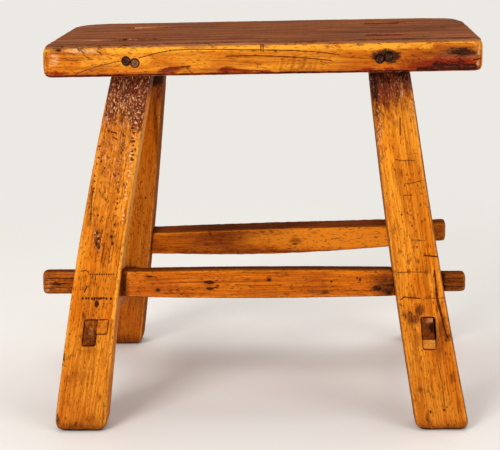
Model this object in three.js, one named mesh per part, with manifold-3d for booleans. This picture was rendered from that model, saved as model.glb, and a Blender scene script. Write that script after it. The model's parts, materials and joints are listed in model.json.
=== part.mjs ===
// A small stool for a child: a thick plank on four splayed legs, tied by two long rails and two side rails.
// Every joint is a through tenon. The seat's joints are wedged from above and pegged from the seat's edges.
// Sizes are in millimetres. x runs to the right along the seat, y to the back and z up from the floor.
import * as THREE from 'three';
import { mergeVertices } from 'three/addons/utils/BufferGeometryUtils.js';
import Module from 'manifold-3d';

const wasm = await Module();
wasm.setup();

// Seat plank
const seatLength = 432;
const seatDepth = 221;
const seatThickness = 31.2;
const seatHeight = 390.4;
const seatFrontCorner = 9;
const seatBackCorner = 18;
const seatEdgeRound = 3;

// Legs: how far in from the plank's ends and long edges they meet its underside
const insetFrontLeft = 84.4;
const insetFrontRight = 89.3;
const insetBackLeft = 84.3;
const insetBackRight = 86;
const insetFace = 47.5;

// How far each foot stands out beyond the top of its leg, and how far the leg bows to the right between them
const splayFrontLeft = 60.8;
const splayFrontRight = 51.6;
const splayBackLeft = 56;
const splayBackRight = 54;
const splayFace = 71.7;
const bowFrontLeft = -5.1;
const bowFrontRight = -2.8;
const bowBackLeft = 1.8;
const bowBackRight = -1;

// The legs' section
const legTopWidth = 41.5;
const legFootWidthFrontLeft = 53.2;
const legFootWidthBackLeft = 51.4;
const legFootWidthRight = 53.6;
const legThickness = 32.6;
const legEdgeRound = 2.6;
const footRound = 8;

// Tenons at the tops of the legs, and the wedges beside them
const seatTenonCheek = 1.9;
const seatTenonThickness = 12.6;
const seatTenonRound = 1;
const seatWedgeHead = 6;
const seatWedgeTip = 2;
const seatWedgeLength = 24;
const wedgeEdgeRound = 0.5;

// Pegs, driven in from the plank's edges, two across each tenon and the inner one a little lower
const pegDiameter = 7.6;
const pegWeb = 1.4;
const pegDrop = 15.5;
const pegStagger = 2.1;
const pegPast = 6;
const pegShiftLeft = 1.1;
const pegShiftRight = -4.4;

// Side rails, from the front legs to the back legs, and the shoulders around their tenons.
// The right one lies a little outside its legs' middle, and its mortises are wider by a slack on that side.
// The left one comes down by a drop at its back end. The right one leans by a share of its legs' lean.
const sideRailClear = 87;
const sideRailWidth = 21;
const sideRailHeight = 28;
const sideCheekLeft = 4;
const sideCheekRight = 4.5;
const sideShoulderOver = 1.3;
const sideShoulderUnderLeft = 1.3;
const sideShoulderUnderRight = 4.8;
const sideShiftRight = 2.1;
const sideSlackRight = 1.6;
const sideDropBackLeft = 10;
const sideLeanShareRight = 0.45;

// The slip beside the tenon in each left leg, a step shorter than it, and the one under it in each right leg
const slipHeadLeft = 10.4;
const slipHeadRight = 8.6;
const slipTaper = 2.5;
const slipLength = 22;
const slipStep = 12;

// Long rails: how far above the side rails they lie, how far past the legs they go, and their shoulders.
// Each is turned about its length by a share of its legs' lean. At its left end the front one has a neck of
// full height between the leg and its shoulder, which was cut squarer than the leg leans. Between its shoulders
// each swells over and under, by the most halfway along.
const longRailHeight = 27.9;
const longRailDepth = 21.9;
const longCheek = 3.4;
const frontAboveLeft = 18.1;
const frontAboveRight = 16.8;
const backAboveLeft = 5.6;
const backAboveRight = 12.6;
const frontPastLeft = 32;
const frontPastRight = 23.3;
const backPastLeft = 27;
const backPastRight = 16.5;
const frontShoulderOverLeft = 0.6;
const frontShoulderUnderLeft = 3.2;
const frontShoulderOverRight = 4.2;
const frontShoulderUnderRight = 3.8;
const backShoulderOverLeft = 1.2;
const backShoulderUnderLeft = 4;
const backShoulderOverRight = 0.2;
const backShoulderUnderRight = 3.6;
const frontSwellOver = 1.1;
const frontSwellUnder = 1.6;
const backSwellOver = 0.7;
const backSwellUnder = 5;
const frontNeckLeft = 6;
const frontNeckLeanShare = 0.6;
const frontTiltShare = 0.61;
const backTiltShare = 0.85;
const railEdgeRound = 2.4;
const railEndRound = 3.2;

// Clearance between pieces, and how far a cut runs past what it cuts
const fitGap = 0.3;
const overrun = 6;

// How finely rounds and bows are drawn
const roundSteps = 3;
const cornerSteps = 5;
const pegSides = 16;
const legSteps = 10;
const swellSteps = 8;

const seatUnderside = seatHeight - seatThickness;
const sideRailLevel = sideRailClear + sideRailHeight / 2;
const longRailBase = sideRailClear + sideRailHeight + longRailHeight / 2;
const seatTenon = {
  halfAcross: legTopWidth / 2 - seatTenonCheek,
  halfUp: seatTenonThickness / 2,
};

const toRight = new THREE.Vector3(1, 0, 0);
const toLeft = new THREE.Vector3(-1, 0, 0);
const toBack = new THREE.Vector3(0, 1, 0);

const finishes = {
  seat: wood(0xa8682c, 0.48),
  leg: wood(0xcf8a2e, 0.45),
  rail: wood(0xb06a22, 0.45),
  wedge: wood(0xb98a4a, 0.6),
  peg: wood(0x4a2c18, 0.65),
};

function wood(color, roughness) {
  return new THREE.MeshStandardMaterial({ color, roughness, metalness: 0, flatShading: true });
}

// Points of a rounded rectangle, counter-clockwise as seen from where across and up turn towards the viewer.
function ring(centre, across, up, halfAcross, halfUp, round) {
  const corners = [[1, 1], [-1, 1], [-1, -1], [1, -1]];
  const points = [];
  corners.forEach(([signAcross, signUp], quarter) => {
    for (let step = 0; step <= roundSteps; step += 1) {
      const angle = (Math.PI / 2) * (quarter + step / roundSteps);
      const alongAcross = signAcross * (halfAcross - round) + round * Math.cos(angle);
      const alongUp = signUp * (halfUp - round) + round * Math.sin(angle);
      points.push(centre.clone().addScaledVector(across, alongAcross).addScaledVector(up, alongUp));
    }
  });
  return points;
}

// A closed body through a row of rings, with a flat face at each end.
function loft(rings) {
  const count = rings[0].length;
  const last = (rings.length - 1) * count;
  const index = [];
  for (let low = 0; low < last; low += count) {
    for (let i = 0; i < count; i += 1) {
      const next = (i + 1) % count;
      index.push(low + i, low + next, low + count + next);
      index.push(low + i, low + count + next, low + count + i);
    }
  }
  for (let i = 1; i < count - 1; i += 1) {
    index.push(0, i + 1, i);
    index.push(last, last + i, last + i + 1);
  }
  const geometry = new THREE.BufferGeometry().setFromPoints(rings.flat());
  geometry.setIndex(index);
  return geometry;
}

function solidOf(geometry) {
  geometry.deleteAttribute('normal');
  geometry.deleteAttribute('uv');
  const closed = mergeVertices(geometry);
  return new wasm.Manifold(new wasm.Mesh({
    numProp: 3,
    vertProperties: Float32Array.from(closed.getAttribute('position').array),
    triVerts: Uint32Array.from(closed.index.array),
  }));
}

function geometryOf(solid) {
  const { vertProperties, triVerts } = solid.getMesh();
  const geometry = new THREE.BufferGeometry();
  geometry.setAttribute('position', new THREE.BufferAttribute(vertProperties, 3));
  geometry.setIndex(new THREE.BufferAttribute(triVerts, 1));
  return geometry;
}

function cut(geometry, tools) {
  const rest = tools.reduce((solid, tool) => solid.subtract(solidOf(tool)), solidOf(geometry));
  return geometryOf(rest);
}

function piece(name, geometry, finish) {
  const mesh = new THREE.Mesh(geometry, finish);
  mesh.name = name;
  return mesh;
}

// The inset of a quarter round and how far along it has come, from the end face to the full section.
function quarterRound(radius) {
  return Array.from({ length: roundSteps + 1 }, (_, step) => {
    const angle = (Math.PI / 2) * (step / roundSteps);
    return { along: radius * (1 - Math.cos(angle)), inset: radius * (1 - Math.sin(angle)) };
  });
}

// A leg's line: side is -1 on the left and 1 on the right, face is -1 in front and 1 at the back.
function legLine(name, side, face, { inset, splay, bow, footWidth, sideDrop = 0 }) {
  const topX = side * (seatLength / 2 - inset);
  const topY = face * (seatDepth / 2 - insetFace);
  const footX = topX + side * splay;
  const footY = topY + face * splayFace;
  return { name, side, face, topX, topY, footX, footY, bow, footWidth, sideDrop };
}

function legX(leg, z) {
  const rise = z / seatUnderside;
  return THREE.MathUtils.lerp(leg.footX, leg.topX, rise) + leg.bow * Math.sin(Math.PI * Math.min(rise, 1));
}

function legY(leg, z) {
  return THREE.MathUtils.lerp(leg.footY, leg.topY, z / seatUnderside);
}

function legCentre(leg, z) {
  return new THREE.Vector3(legX(leg, z), legY(leg, z), z);
}

function legWidth(leg, z) {
  return THREE.MathUtils.lerp(leg.footWidth, legTopWidth, z / seatUnderside);
}

function innerX(leg, z) {
  return legX(leg, z) - (leg.side * legWidth(leg, z)) / 2;
}

function outerX(leg, z) {
  return legX(leg, z) + (leg.side * legWidth(leg, z)) / 2;
}

function innerY(leg, z) {
  return legY(leg, z) - (leg.face * legThickness) / 2;
}

function outerY(leg, z) {
  return legY(leg, z) + (leg.face * legThickness) / 2;
}

// How far a line on a leg leans for each unit that it rises, measured over a reach above and below z.
function lean(line, leg, z, reach) {
  return (line(leg, z + reach) - line(leg, z - reach)) / (2 * reach);
}

// What is left of a rail's section with cheek taken off both sides, over off the top and under off the bottom.
function railSection(width, height, cheek, over, under) {
  return { halfAcross: width / 2 - cheek, halfUp: (height - over - under) / 2, raise: (under - over) / 2 };
}

function grown(section, by) {
  return { ...section, halfAcross: section.halfAcross + by, halfUp: section.halfUp + by };
}

function seatMortise(leg) {
  return loft([seatUnderside - overrun, seatHeight + overrun].map((z) => ring(
    legCentre(leg, z), toRight, toBack,
    seatTenon.halfAcross + fitGap, seatTenon.halfUp + fitGap, seatTenonRound + fitGap,
  )));
}

// The wedge fills the flare at the tenon's outer end. A cut for it is larger by grow and open above by past.
function seatWedge(leg, grow = 0, past = 0) {
  const level = (z, thickness) => ring(
    legCentre(leg, z).addScaledVector(toRight, leg.side * (seatTenon.halfAcross + fitGap + thickness / 2)),
    toRight, toBack, thickness / 2 + grow, seatTenon.halfUp + grow, wedgeEdgeRound,
  );
  const rings = [
    level(seatHeight - seatWedgeLength - grow, seatWedgeTip),
    level(seatHeight, seatWedgeHead),
  ];
  if (past > 0) {
    rings.push(level(seatHeight + past, seatWedgeHead));
  }
  return loft(rings);
}

// The two pegs of a leg's tenon, as places and lengths.
function pegsOf(leg) {
  const pitch = pegDiameter + pegWeb;
  const shift = leg.side < 0 ? pegShiftLeft : pegShiftRight;
  return [-1, 1].map((order) => {
    const z = seatHeight - pegDrop - (order === leg.side ? 0 : pegStagger);
    const x = legX(leg, z) + shift + (order * pitch) / 2;
    const headY = (leg.face * seatDepth) / 2;
    const tipY = legY(leg, z) - leg.face * (seatTenon.halfUp + pegPast);
    return { order, x, z, headY, tipY };
  });
}

function pegHole(peg, face) {
  const headY = peg.headY + face * overrun;
  const tipY = peg.tipY - face * fitGap;
  const radius = pegDiameter / 2 + fitGap;
  const geometry = new THREE.CylinderGeometry(radius, radius, Math.abs(headY - tipY), pegSides);
  return geometry.translate(peg.x, (headY + tipY) / 2, peg.z);
}

function pegMesh(name, peg) {
  const length = Math.abs(peg.headY - peg.tipY);
  const geometry = new THREE.CylinderGeometry(pegDiameter / 2, pegDiameter / 2, length, pegSides);
  const mesh = piece(name, geometry, finishes.peg);
  mesh.position.set(peg.x, (peg.headY + peg.tipY) / 2, peg.z);
  return mesh;
}

function seatPlank(legs) {
  const right = seatLength / 2 - seatEdgeRound;
  const back = seatDepth / 2 - seatEdgeRound;
  const frontCorner = seatFrontCorner - seatEdgeRound;
  const backCorner = seatBackCorner - seatEdgeRound;
  const outline = new THREE.Shape();
  outline.absarc(right - backCorner, back - backCorner, backCorner, 0, Math.PI / 2);
  outline.absarc(backCorner - right, back - backCorner, backCorner, Math.PI / 2, Math.PI);
  outline.absarc(frontCorner - right, frontCorner - back, frontCorner, Math.PI, Math.PI * 1.5);
  outline.absarc(right - frontCorner, frontCorner - back, frontCorner, Math.PI * 1.5, Math.PI * 2);
  const plank = new THREE.ExtrudeGeometry(outline, {
    depth: seatThickness - 2 * seatEdgeRound,
    bevelThickness: seatEdgeRound,
    bevelSize: seatEdgeRound,
    bevelSegments: roundSteps,
    curveSegments: cornerSteps,
  }).translate(0, 0, seatUnderside + seatEdgeRound);
  const cuts = legs.flatMap((leg) => [
    seatMortise(leg),
    seatWedge(leg, fitGap, overrun),
    ...pegsOf(leg).map((peg) => pegHole(peg, leg.face)),
  ]);
  return piece('seat_plank', cut(plank, cuts), finishes.seat);
}

function legMesh(leg, mortises) {
  const level = (z, halfAcross, halfUp, round) => (
    ring(legCentre(leg, z), toRight, toBack, halfAcross, halfUp, round)
  );
  const shoulder = seatUnderside - fitGap;
  const rings = quarterRound(footRound).map(({ along, inset }) => (
    level(along, legWidth(leg, along) / 2 - inset, legThickness / 2 - inset, legEdgeRound)
  ));
  for (let step = 1; step <= legSteps; step += 1) {
    const z = THREE.MathUtils.lerp(footRound, shoulder, step / legSteps);
    rings.push(level(z, legWidth(leg, z) / 2, legThickness / 2, legEdgeRound));
  }
  [shoulder, seatHeight].forEach((z) => {
    rings.push(level(z, seatTenon.halfAcross, seatTenon.halfUp, seatTenonRound));
  });
  const cuts = [...mortises, ...pegsOf(leg).map((peg) => pegHole(peg, leg.face))];
  return piece(`leg_${leg.name}`, cut(loft(rings), cuts), finishes.leg);
}

// One end of a long rail: its leg, its level there, how far it goes past the leg, its tenon and its neck.
function railEnd(leg, above, past, over, under, neck = 0) {
  const level = longRailBase + above;
  const tenon = railSection(longRailDepth, longRailHeight, longCheek, over, under);
  return { leg, level, past, neck, tenon };
}

// A long rail's centre line runs through the centre lines of its two legs. Its swell is given over and under.
function longRail(left, right, tiltShare, swell) {
  const leftX = legX(left.leg, left.level);
  const rightX = legX(right.leg, right.level);
  const centre = (x) => {
    const z = THREE.MathUtils.mapLinear(x, leftX, rightX, left.level, right.level);
    return new THREE.Vector3(x, legY(left.leg, z), z);
  };
  const faceLean = (left.leg.topY - left.leg.footY) / seatUnderside;
  return { left, right, centre, turn: Math.atan(tiltShare * faceLean), swell };
}

// A ring of a long rail, square to its length or leaning with the inner side of a leg.
function longRailRing(rail, x, section, round, sideLean = 0) {
  const sine = Math.sin(rail.turn);
  const cosine = Math.cos(rail.turn);
  const across = new THREE.Vector3(-sideLean * sine, cosine, -sine);
  const up = new THREE.Vector3(sideLean * cosine, sine, cosine);
  const centre = rail.centre(x).addScaledVector(up, section.raise);
  return ring(centre, across, up, section.halfAcross, section.halfUp, round);
}

// The step from a tenon to the full section at a leg's inner side, with the neck between them if there is one.
function shoulderRings(rail, { leg, level, neck, tenon }) {
  const full = railSection(longRailDepth, longRailHeight, 0, 0, 0);
  const slim = railSection(longRailDepth, longRailHeight, longCheek, 0, 0);
  const legLean = lean(innerX, leg, level, longRailHeight / 2);
  const at = (out, section, sideLean) => longRailRing(
    rail, innerX(leg, level) - leg.side * (fitGap + out), section, railEdgeRound, sideLean,
  );
  if (neck === 0) {
    return [tenon, full].map((section) => at(0, section, legLean));
  }
  const shoulderLean = frontNeckLeanShare * legLean;
  return [
    at(0, tenon, legLean),
    at(0, slim, legLean),
    at(neck, slim, shoulderLean),
    at(neck, full, shoulderLean),
  ];
}

// The full section between the two shoulders, with the rail's swell.
function swellRings(rail) {
  const [from, to] = [rail.left, rail.right].map(({ leg, level, neck }) => (
    innerX(leg, level) - leg.side * (fitGap + neck)
  ));
  return Array.from({ length: swellSteps - 1 }, (_, step) => {
    const along = (step + 1) / swellSteps;
    const bulge = Math.sin(Math.PI * along);
    const { over, under } = rail.swell;
    const section = railSection(longRailDepth, longRailHeight, 0, -over * bulge, -under * bulge);
    return longRailRing(rail, THREE.MathUtils.lerp(from, to, along), section, railEdgeRound);
  });
}

function longRailMesh(name, rail) {
  const end = ({ leg, level, past, tenon }) => quarterRound(railEndRound).map(({ along, inset }) => {
    const x = outerX(leg, level) + leg.side * (past - along);
    return longRailRing(rail, x, grown(tenon, -inset), railEdgeRound);
  });
  const rings = [
    ...end(rail.left),
    ...shoulderRings(rail, rail.left),
    ...swellRings(rail),
    ...shoulderRings(rail, rail.right).reverse(),
    ...end(rail.right).reverse(),
  ];
  return piece(name, loft(rings), finishes.rail);
}

function longRailMortise(rail, { leg, level, tenon }) {
  const ends = [innerX(leg, level) - leg.side * overrun, outerX(leg, level) + leg.side * overrun];
  ends.sort((a, b) => a - b);
  return loft(ends.map((x) => longRailRing(rail, x, grown(tenon, fitGap), railEdgeRound + fitGap)));
}

function sideTenon(leg) {
  const onLeft = leg.side < 0;
  const cheek = onLeft ? sideCheekLeft : sideCheekRight;
  const under = onLeft ? sideShoulderUnderLeft : sideShoulderUnderRight;
  return railSection(sideRailWidth, sideRailHeight, cheek, sideShoulderOver, under);
}

function sideLevel(leg) {
  return sideRailLevel - leg.sideDrop;
}

// A ring of a side rail leans with its leg, or by a share of that. Aside moves it across the leg.
function sideRailRing(leg, y, section, round, aside = 0) {
  const z = sideLevel(leg);
  const reach = sideRailHeight / 2;
  const share = leg.side < 0 ? 1 : sideLeanShareRight;
  const up = new THREE.Vector3(share * lean(legX, leg, z, reach), lean(legY, leg, z, reach), 1);
  const shift = leg.side < 0 ? 0 : sideShiftRight;
  const centre = new THREE.Vector3(legX(leg, z) + shift + aside, y, z).addScaledVector(up, section.raise);
  return ring(centre, toLeft, up, section.halfAcross, section.halfUp, round);
}

function sideRailMesh(name, front, back) {
  const full = railSection(sideRailWidth, sideRailHeight, 0, 0, 0);
  const half = (leg) => [
    sideRailRing(leg, outerY(leg, sideLevel(leg)), sideTenon(leg), wedgeEdgeRound),
    sideRailRing(leg, innerY(leg, sideLevel(leg)) - leg.face * fitGap, sideTenon(leg), wedgeEdgeRound),
    sideRailRing(leg, innerY(leg, sideLevel(leg)) - leg.face * fitGap, full, railEdgeRound),
  ];
  return piece(name, loft([...half(front), ...half(back).reverse()]), finishes.rail);
}

function sideRailMortise(leg) {
  const z = sideLevel(leg);
  const slack = leg.side < 0 ? 0 : sideSlackRight;
  const section = grown(sideTenon(leg), fitGap);
  section.halfAcross += slack / 2;
  const ends = [innerY(leg, z) - leg.face * overrun, outerY(leg, z) + leg.face * overrun];
  ends.sort((a, b) => a - b);
  return loft(ends.map((y) => sideRailRing(leg, y, section, wedgeEdgeRound + fitGap, slack / 2)));
}

// The slip beside the tenon in a left leg stands level with the tenon's top and ends a step above its bottom.
// The slip in a right leg lies under the tenon. A cut for it is larger by more and open outside by past.
function railSlip(leg, more = 0, past = 0) {
  const tenon = sideTenon(leg);
  const outside = outerY(leg, sideLevel(leg));
  const beside = (y, thickness) => {
    const section = {
      halfAcross: thickness / 2,
      halfUp: tenon.halfUp - slipStep / 2,
      raise: tenon.raise + slipStep / 2,
    };
    const aside = tenon.halfAcross + fitGap + thickness / 2;
    return sideRailRing(leg, y, grown(section, more), wedgeEdgeRound, aside);
  };
  const below = (y, thickness) => {
    const section = {
      halfAcross: tenon.halfAcross,
      halfUp: thickness / 2,
      raise: tenon.raise - tenon.halfUp - fitGap - thickness / 2,
    };
    return sideRailRing(leg, y, grown(section, more), wedgeEdgeRound);
  };
  const level = leg.side < 0 ? beside : below;
  const head = leg.side < 0 ? slipHeadLeft : slipHeadRight;
  const rings = [
    level(outside - leg.face * (slipLength + more), head - slipTaper),
    level(outside, head),
  ];
  if (past > 0) {
    rings.push(level(outside + leg.face * past, head));
  }
  return loft(leg.face > 0 ? rings : rings.reverse());
}

const frontLeft = legLine('front_left', -1, -1, {
  inset: insetFrontLeft, splay: splayFrontLeft, bow: bowFrontLeft, footWidth: legFootWidthFrontLeft,
});
const frontRight = legLine('front_right', 1, -1, {
  inset: insetFrontRight, splay: splayFrontRight, bow: bowFrontRight, footWidth: legFootWidthRight,
});
const backLeft = legLine('back_left', -1, 1, {
  inset: insetBackLeft, splay: splayBackLeft, bow: bowBackLeft, footWidth: legFootWidthBackLeft,
  sideDrop: sideDropBackLeft,
});
const backRight = legLine('back_right', 1, 1, {
  inset: insetBackRight, splay: splayBackRight, bow: bowBackRight, footWidth: legFootWidthRight,
});
const legs = [frontLeft, frontRight, backLeft, backRight];

const frontRail = longRail(
  railEnd(
    frontLeft, frontAboveLeft, frontPastLeft, frontShoulderOverLeft, frontShoulderUnderLeft, frontNeckLeft,
  ),
  railEnd(frontRight, frontAboveRight, frontPastRight, frontShoulderOverRight, frontShoulderUnderRight),
  frontTiltShare,
  { over: frontSwellOver, under: frontSwellUnder },
);
const backRail = longRail(
  railEnd(backLeft, backAboveLeft, backPastLeft, backShoulderOverLeft, backShoulderUnderLeft),
  railEnd(backRight, backAboveRight, backPastRight, backShoulderOverRight, backShoulderUnderRight),
  backTiltShare,
  { over: backSwellOver, under: backSwellUnder },
);

const stool = new THREE.Group();
stool.add(seatPlank(legs));

const base = new THREE.Group();
[frontRail, backRail].forEach((rail) => {
  [rail.left, rail.right].forEach((end) => {
    const { leg } = end;
    base.add(legMesh(leg, [
      longRailMortise(rail, end),
      sideRailMortise(leg),
      railSlip(leg, fitGap, overrun),
    ]));
  });
});
base.add(
  longRailMesh('stretcher_front', frontRail),
  longRailMesh('stretcher_back', backRail),
  sideRailMesh('stretcher_left', frontLeft, backLeft),
  sideRailMesh('stretcher_right', frontRight, backRight),
);
stool.add(base);

const fastenings = new THREE.Group();
legs.forEach((leg) => {
  fastenings.add(piece(`seat_wedge_${leg.name}`, seatWedge(leg), finishes.wedge));
  fastenings.add(piece(`rail_wedge_${leg.name}`, railSlip(leg), finishes.wedge));
  pegsOf(leg).forEach((peg) => {
    const place = peg.order === leg.side ? 'outer' : 'inner';
    fastenings.add(pegMesh(`seat_peg_${leg.name}_${place}`, peg));
  });
});
stool.add(fastenings);

// The origin lies on the floor under the middle of the whole stool, rail ends included.
const reach = new THREE.Box3().setFromObject(stool);
stool.position.x = -(reach.min.x + reach.max.x) / 2;
stool.position.y = -(reach.min.y + reach.max.y) / 2;

export default stool;
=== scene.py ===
"""Dresses the childs stool: an old child's stool in waxed, pegged and wedged softwood.

The file is laid out as an add-on and is run as a script. Lengths are metres unless a name says otherwise,
in the stool's own frame: +X along the seat to the right, +Y to the back, +Z up, the floor at zero.
"""
import json
import math
from collections import namedtuple

import bpy
import numpy as np
from mathutils import Color, Matrix, Vector
from mathutils.bvhtree import BVHTree
from mathutils.kdtree import KDTree

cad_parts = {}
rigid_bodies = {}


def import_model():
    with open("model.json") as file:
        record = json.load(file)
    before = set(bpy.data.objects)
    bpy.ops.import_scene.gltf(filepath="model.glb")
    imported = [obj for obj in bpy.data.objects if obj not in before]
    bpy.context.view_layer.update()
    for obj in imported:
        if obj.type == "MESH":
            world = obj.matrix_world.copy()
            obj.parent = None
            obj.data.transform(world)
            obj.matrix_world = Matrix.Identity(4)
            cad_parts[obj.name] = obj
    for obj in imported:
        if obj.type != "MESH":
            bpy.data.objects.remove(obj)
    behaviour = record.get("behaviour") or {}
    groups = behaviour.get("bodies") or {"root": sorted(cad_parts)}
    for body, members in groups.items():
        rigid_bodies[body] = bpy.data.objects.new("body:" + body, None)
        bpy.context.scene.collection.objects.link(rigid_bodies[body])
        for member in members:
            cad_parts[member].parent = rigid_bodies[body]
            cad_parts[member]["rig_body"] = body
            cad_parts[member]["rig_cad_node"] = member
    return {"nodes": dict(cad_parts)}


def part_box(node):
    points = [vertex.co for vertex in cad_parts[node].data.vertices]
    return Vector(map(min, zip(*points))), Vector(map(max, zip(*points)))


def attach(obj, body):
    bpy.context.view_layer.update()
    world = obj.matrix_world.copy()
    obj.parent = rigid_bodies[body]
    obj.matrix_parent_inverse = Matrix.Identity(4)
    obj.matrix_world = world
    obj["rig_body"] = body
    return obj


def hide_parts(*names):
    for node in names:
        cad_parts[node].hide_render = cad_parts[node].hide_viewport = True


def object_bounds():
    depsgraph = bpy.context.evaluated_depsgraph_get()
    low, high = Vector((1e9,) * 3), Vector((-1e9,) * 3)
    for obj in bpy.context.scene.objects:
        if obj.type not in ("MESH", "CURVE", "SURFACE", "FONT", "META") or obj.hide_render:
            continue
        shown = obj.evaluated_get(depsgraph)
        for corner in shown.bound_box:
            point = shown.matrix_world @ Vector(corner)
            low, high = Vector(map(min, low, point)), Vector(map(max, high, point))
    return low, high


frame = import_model()
CAD_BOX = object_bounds()

bl_info = {
    "name": "Childs Stool Dressing",
    "version": (1, 0, 0),
    "blender": (4, 5, 0),
    "location": "View3D > Sidebar > Stool",
    "description": "Builds the worn wood, the finish and the studio of a childs stool around its fixed frame",
    "category": "Object",
}

MM = 0.001
BODY = "root"
CORNERS = [f"{depth}_{side}" for depth in ("front", "back") for side in ("left", "right")]
SEAT_LOW, SEAT_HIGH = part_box("seat_plank")
TONED = ("handled", "red", "grime", "bare", "cut", "arris")
MASKS = (*TONED, "rough", "shade")
# How far inside the frame's box the dressed surface stays
INSIDE = Vector((0.01, 0.01, 0.01)) * MM


# What a user can change

def srgb(name, description, red, green, blue):
    """A colour property that holds screen values from 0 to 255, kept as shares."""
    return bpy.props.FloatVectorProperty(
        name=name, description=description, subtype="COLOR_GAMMA", size=3, min=0, max=1,
        default=(red / 255, green / 255, blue / 255))


def length(name, description, millimetres):
    """A length property with its default in millimetres."""
    return bpy.props.FloatProperty(
        name=name, description=description, unit="LENGTH", min=0, precision=5, default=millimetres * MM)


def share(name, description, default):
    """A plain number property from 0 to 1."""
    return bpy.props.FloatProperty(name=name, description=description, subtype="FACTOR",
                                   min=0, max=1, default=default)


def scalar(name, description, default, unit="NONE"):
    """A plain number property without limits."""
    return bpy.props.FloatProperty(name=name, description=description, unit=unit, default=default)


TONES = {
    "light": "Lit face of the wood",
    "middle": "Common tone of the wood",
    "deep": "Dark growth lines and streaks",
    "handled": "Brown of rubbed and dirty faces",
    "red": "Old red stain",
    "grime": "Black build-up",
    "bare": "Wood showing through a chip",
    "cut": "Dirt in cracks and nicks",
    "arris": "Polished edge",
}


def finish(streaks, specks, roughness, **colours):
    """The properties of one wood's finish: a colour for each tone, and three levels."""
    return {
        **{tone: srgb(tone.title(), TONES[tone], *colour) for tone, colour in colours.items()},
        "streaks": share("Streaks", "Strength of the dark streaks", streaks),
        "specks": share("Specks", "Share of the cells that hold a dark speck", specks),
        "roughness": share("Roughness", "Roughness of the clean face", roughness),
    }


class SeatFinish(bpy.types.PropertyGroup):
    """Colours of the seat plank."""
    # the handled brown is greyed a little to stand in for the wax's sheen on the top, a painted reflection
    __annotations__ = finish(
        light=(246, 156, 36), middle=(206, 108, 12), deep=(132, 52, 4), handled=(146, 88, 60),
        red=(146, 34, 6), grime=(38, 14, 8), bare=(232, 170, 112), cut=(66, 22, 4), arris=(252, 170, 48),
        streaks=0.5, specks=0.26, roughness=0.42)


class LegFinish(bpy.types.PropertyGroup):
    """Colours of the four legs."""
    __annotations__ = finish(
        light=(250, 160, 42), middle=(228, 122, 12), deep=(146, 60, 4), handled=(140, 66, 18),
        red=(116, 38, 20), grime=(40, 14, 8), bare=(244, 182, 126), cut=(70, 24, 4), arris=(252, 172, 62),
        streaks=0.6, specks=0.3, roughness=0.42)


class RailFinish(bpy.types.PropertyGroup):
    """Colours of the long and short rails."""
    __annotations__ = finish(
        light=(224, 118, 12), middle=(188, 86, 4), deep=(108, 40, 2), handled=(104, 48, 18),
        red=(134, 40, 6), grime=(38, 15, 8), bare=(206, 138, 84), cut=(52, 18, 4), arris=(244, 144, 28),
        streaks=0.56, specks=0.3, roughness=0.4)


class WedgeFinish(bpy.types.PropertyGroup):
    """Colours of the wedges and slips beside the tenons."""
    __annotations__ = finish(
        light=(232, 138, 34), middle=(212, 112, 16), deep=(128, 56, 8), handled=(118, 66, 34),
        red=(140, 52, 14), grime=(44, 20, 12), bare=(214, 146, 66), cut=(52, 22, 8), arris=(204, 120, 40),
        streaks=0.5, specks=0.3, roughness=0.58)


class PegFinish(bpy.types.PropertyGroup):
    """Colours of the round pegs."""
    __annotations__ = finish(
        light=(146, 92, 60), middle=(112, 66, 40), deep=(58, 28, 15), handled=(80, 46, 28),
        red=(96, 40, 16), grime=(36, 14, 8), bare=(176, 126, 86), cut=(34, 14, 8), arris=(96, 56, 34),
        streaks=0.6, specks=0.4, roughness=0.55)


class WearSizes(bpy.types.PropertyGroup):
    """How finely the pieces are carved, and how deep their wear goes."""
    seat_grid: length("Seat grid", "Spacing of the carved surface on the seat", 2.3)
    leg_grid: length("Leg grid", "Spacing of the carved surface on the legs", 1.15)
    rail_grid: length("Rail grid", "Spacing of the carved surface on the rails", 1.0)
    small_grid: length("Small grid", "Spacing of the carved surface on wedges", 0.5)
    allowance: length("Allowance", "How far a free face is let out before it is carved back to its size", 0.5)
    wave_size: length("Wave size", "Width of the hollows left by the plane", 55)
    wave_depth: length("Wave depth", "Depth of the hollows left by the plane", 0.28)
    dent_size: length("Dent size", "Width of small dents", 7)
    dent_depth: length("Dent depth", "Depth of small dents", 0.16)
    fibre_size: length("Fibre size", "Width of the raised grain", 3.2)
    fibre_depth: length("Fibre depth", "Depth of the raised grain", 0.16)
    crust_size: length("Crust size", "Width of the crumbs of old varnish", 2.4)
    crust_depth: length("Crust depth", "Depth of the crumbled varnish", 0.8)
    arris_size: length("Arris size", "Width of the bites along the edges", 9)
    arris_depth: length("Arris depth", "Depth of the bites along the edges", 0.7)
    cut_depth: length("Cut depth", "Depth of cracks, nicks and pits", 0.8)
    chip_depth: length("Chip depth", "Depth of chips that show bare wood", 0.5)
    worn_passes: bpy.props.IntProperty(
        name="Worn passes", description="How many times the worn corners are smoothed", default=45)
    joint_reach: length("Joint reach", "How far from a joint the edges stay unworn", 3)


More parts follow.
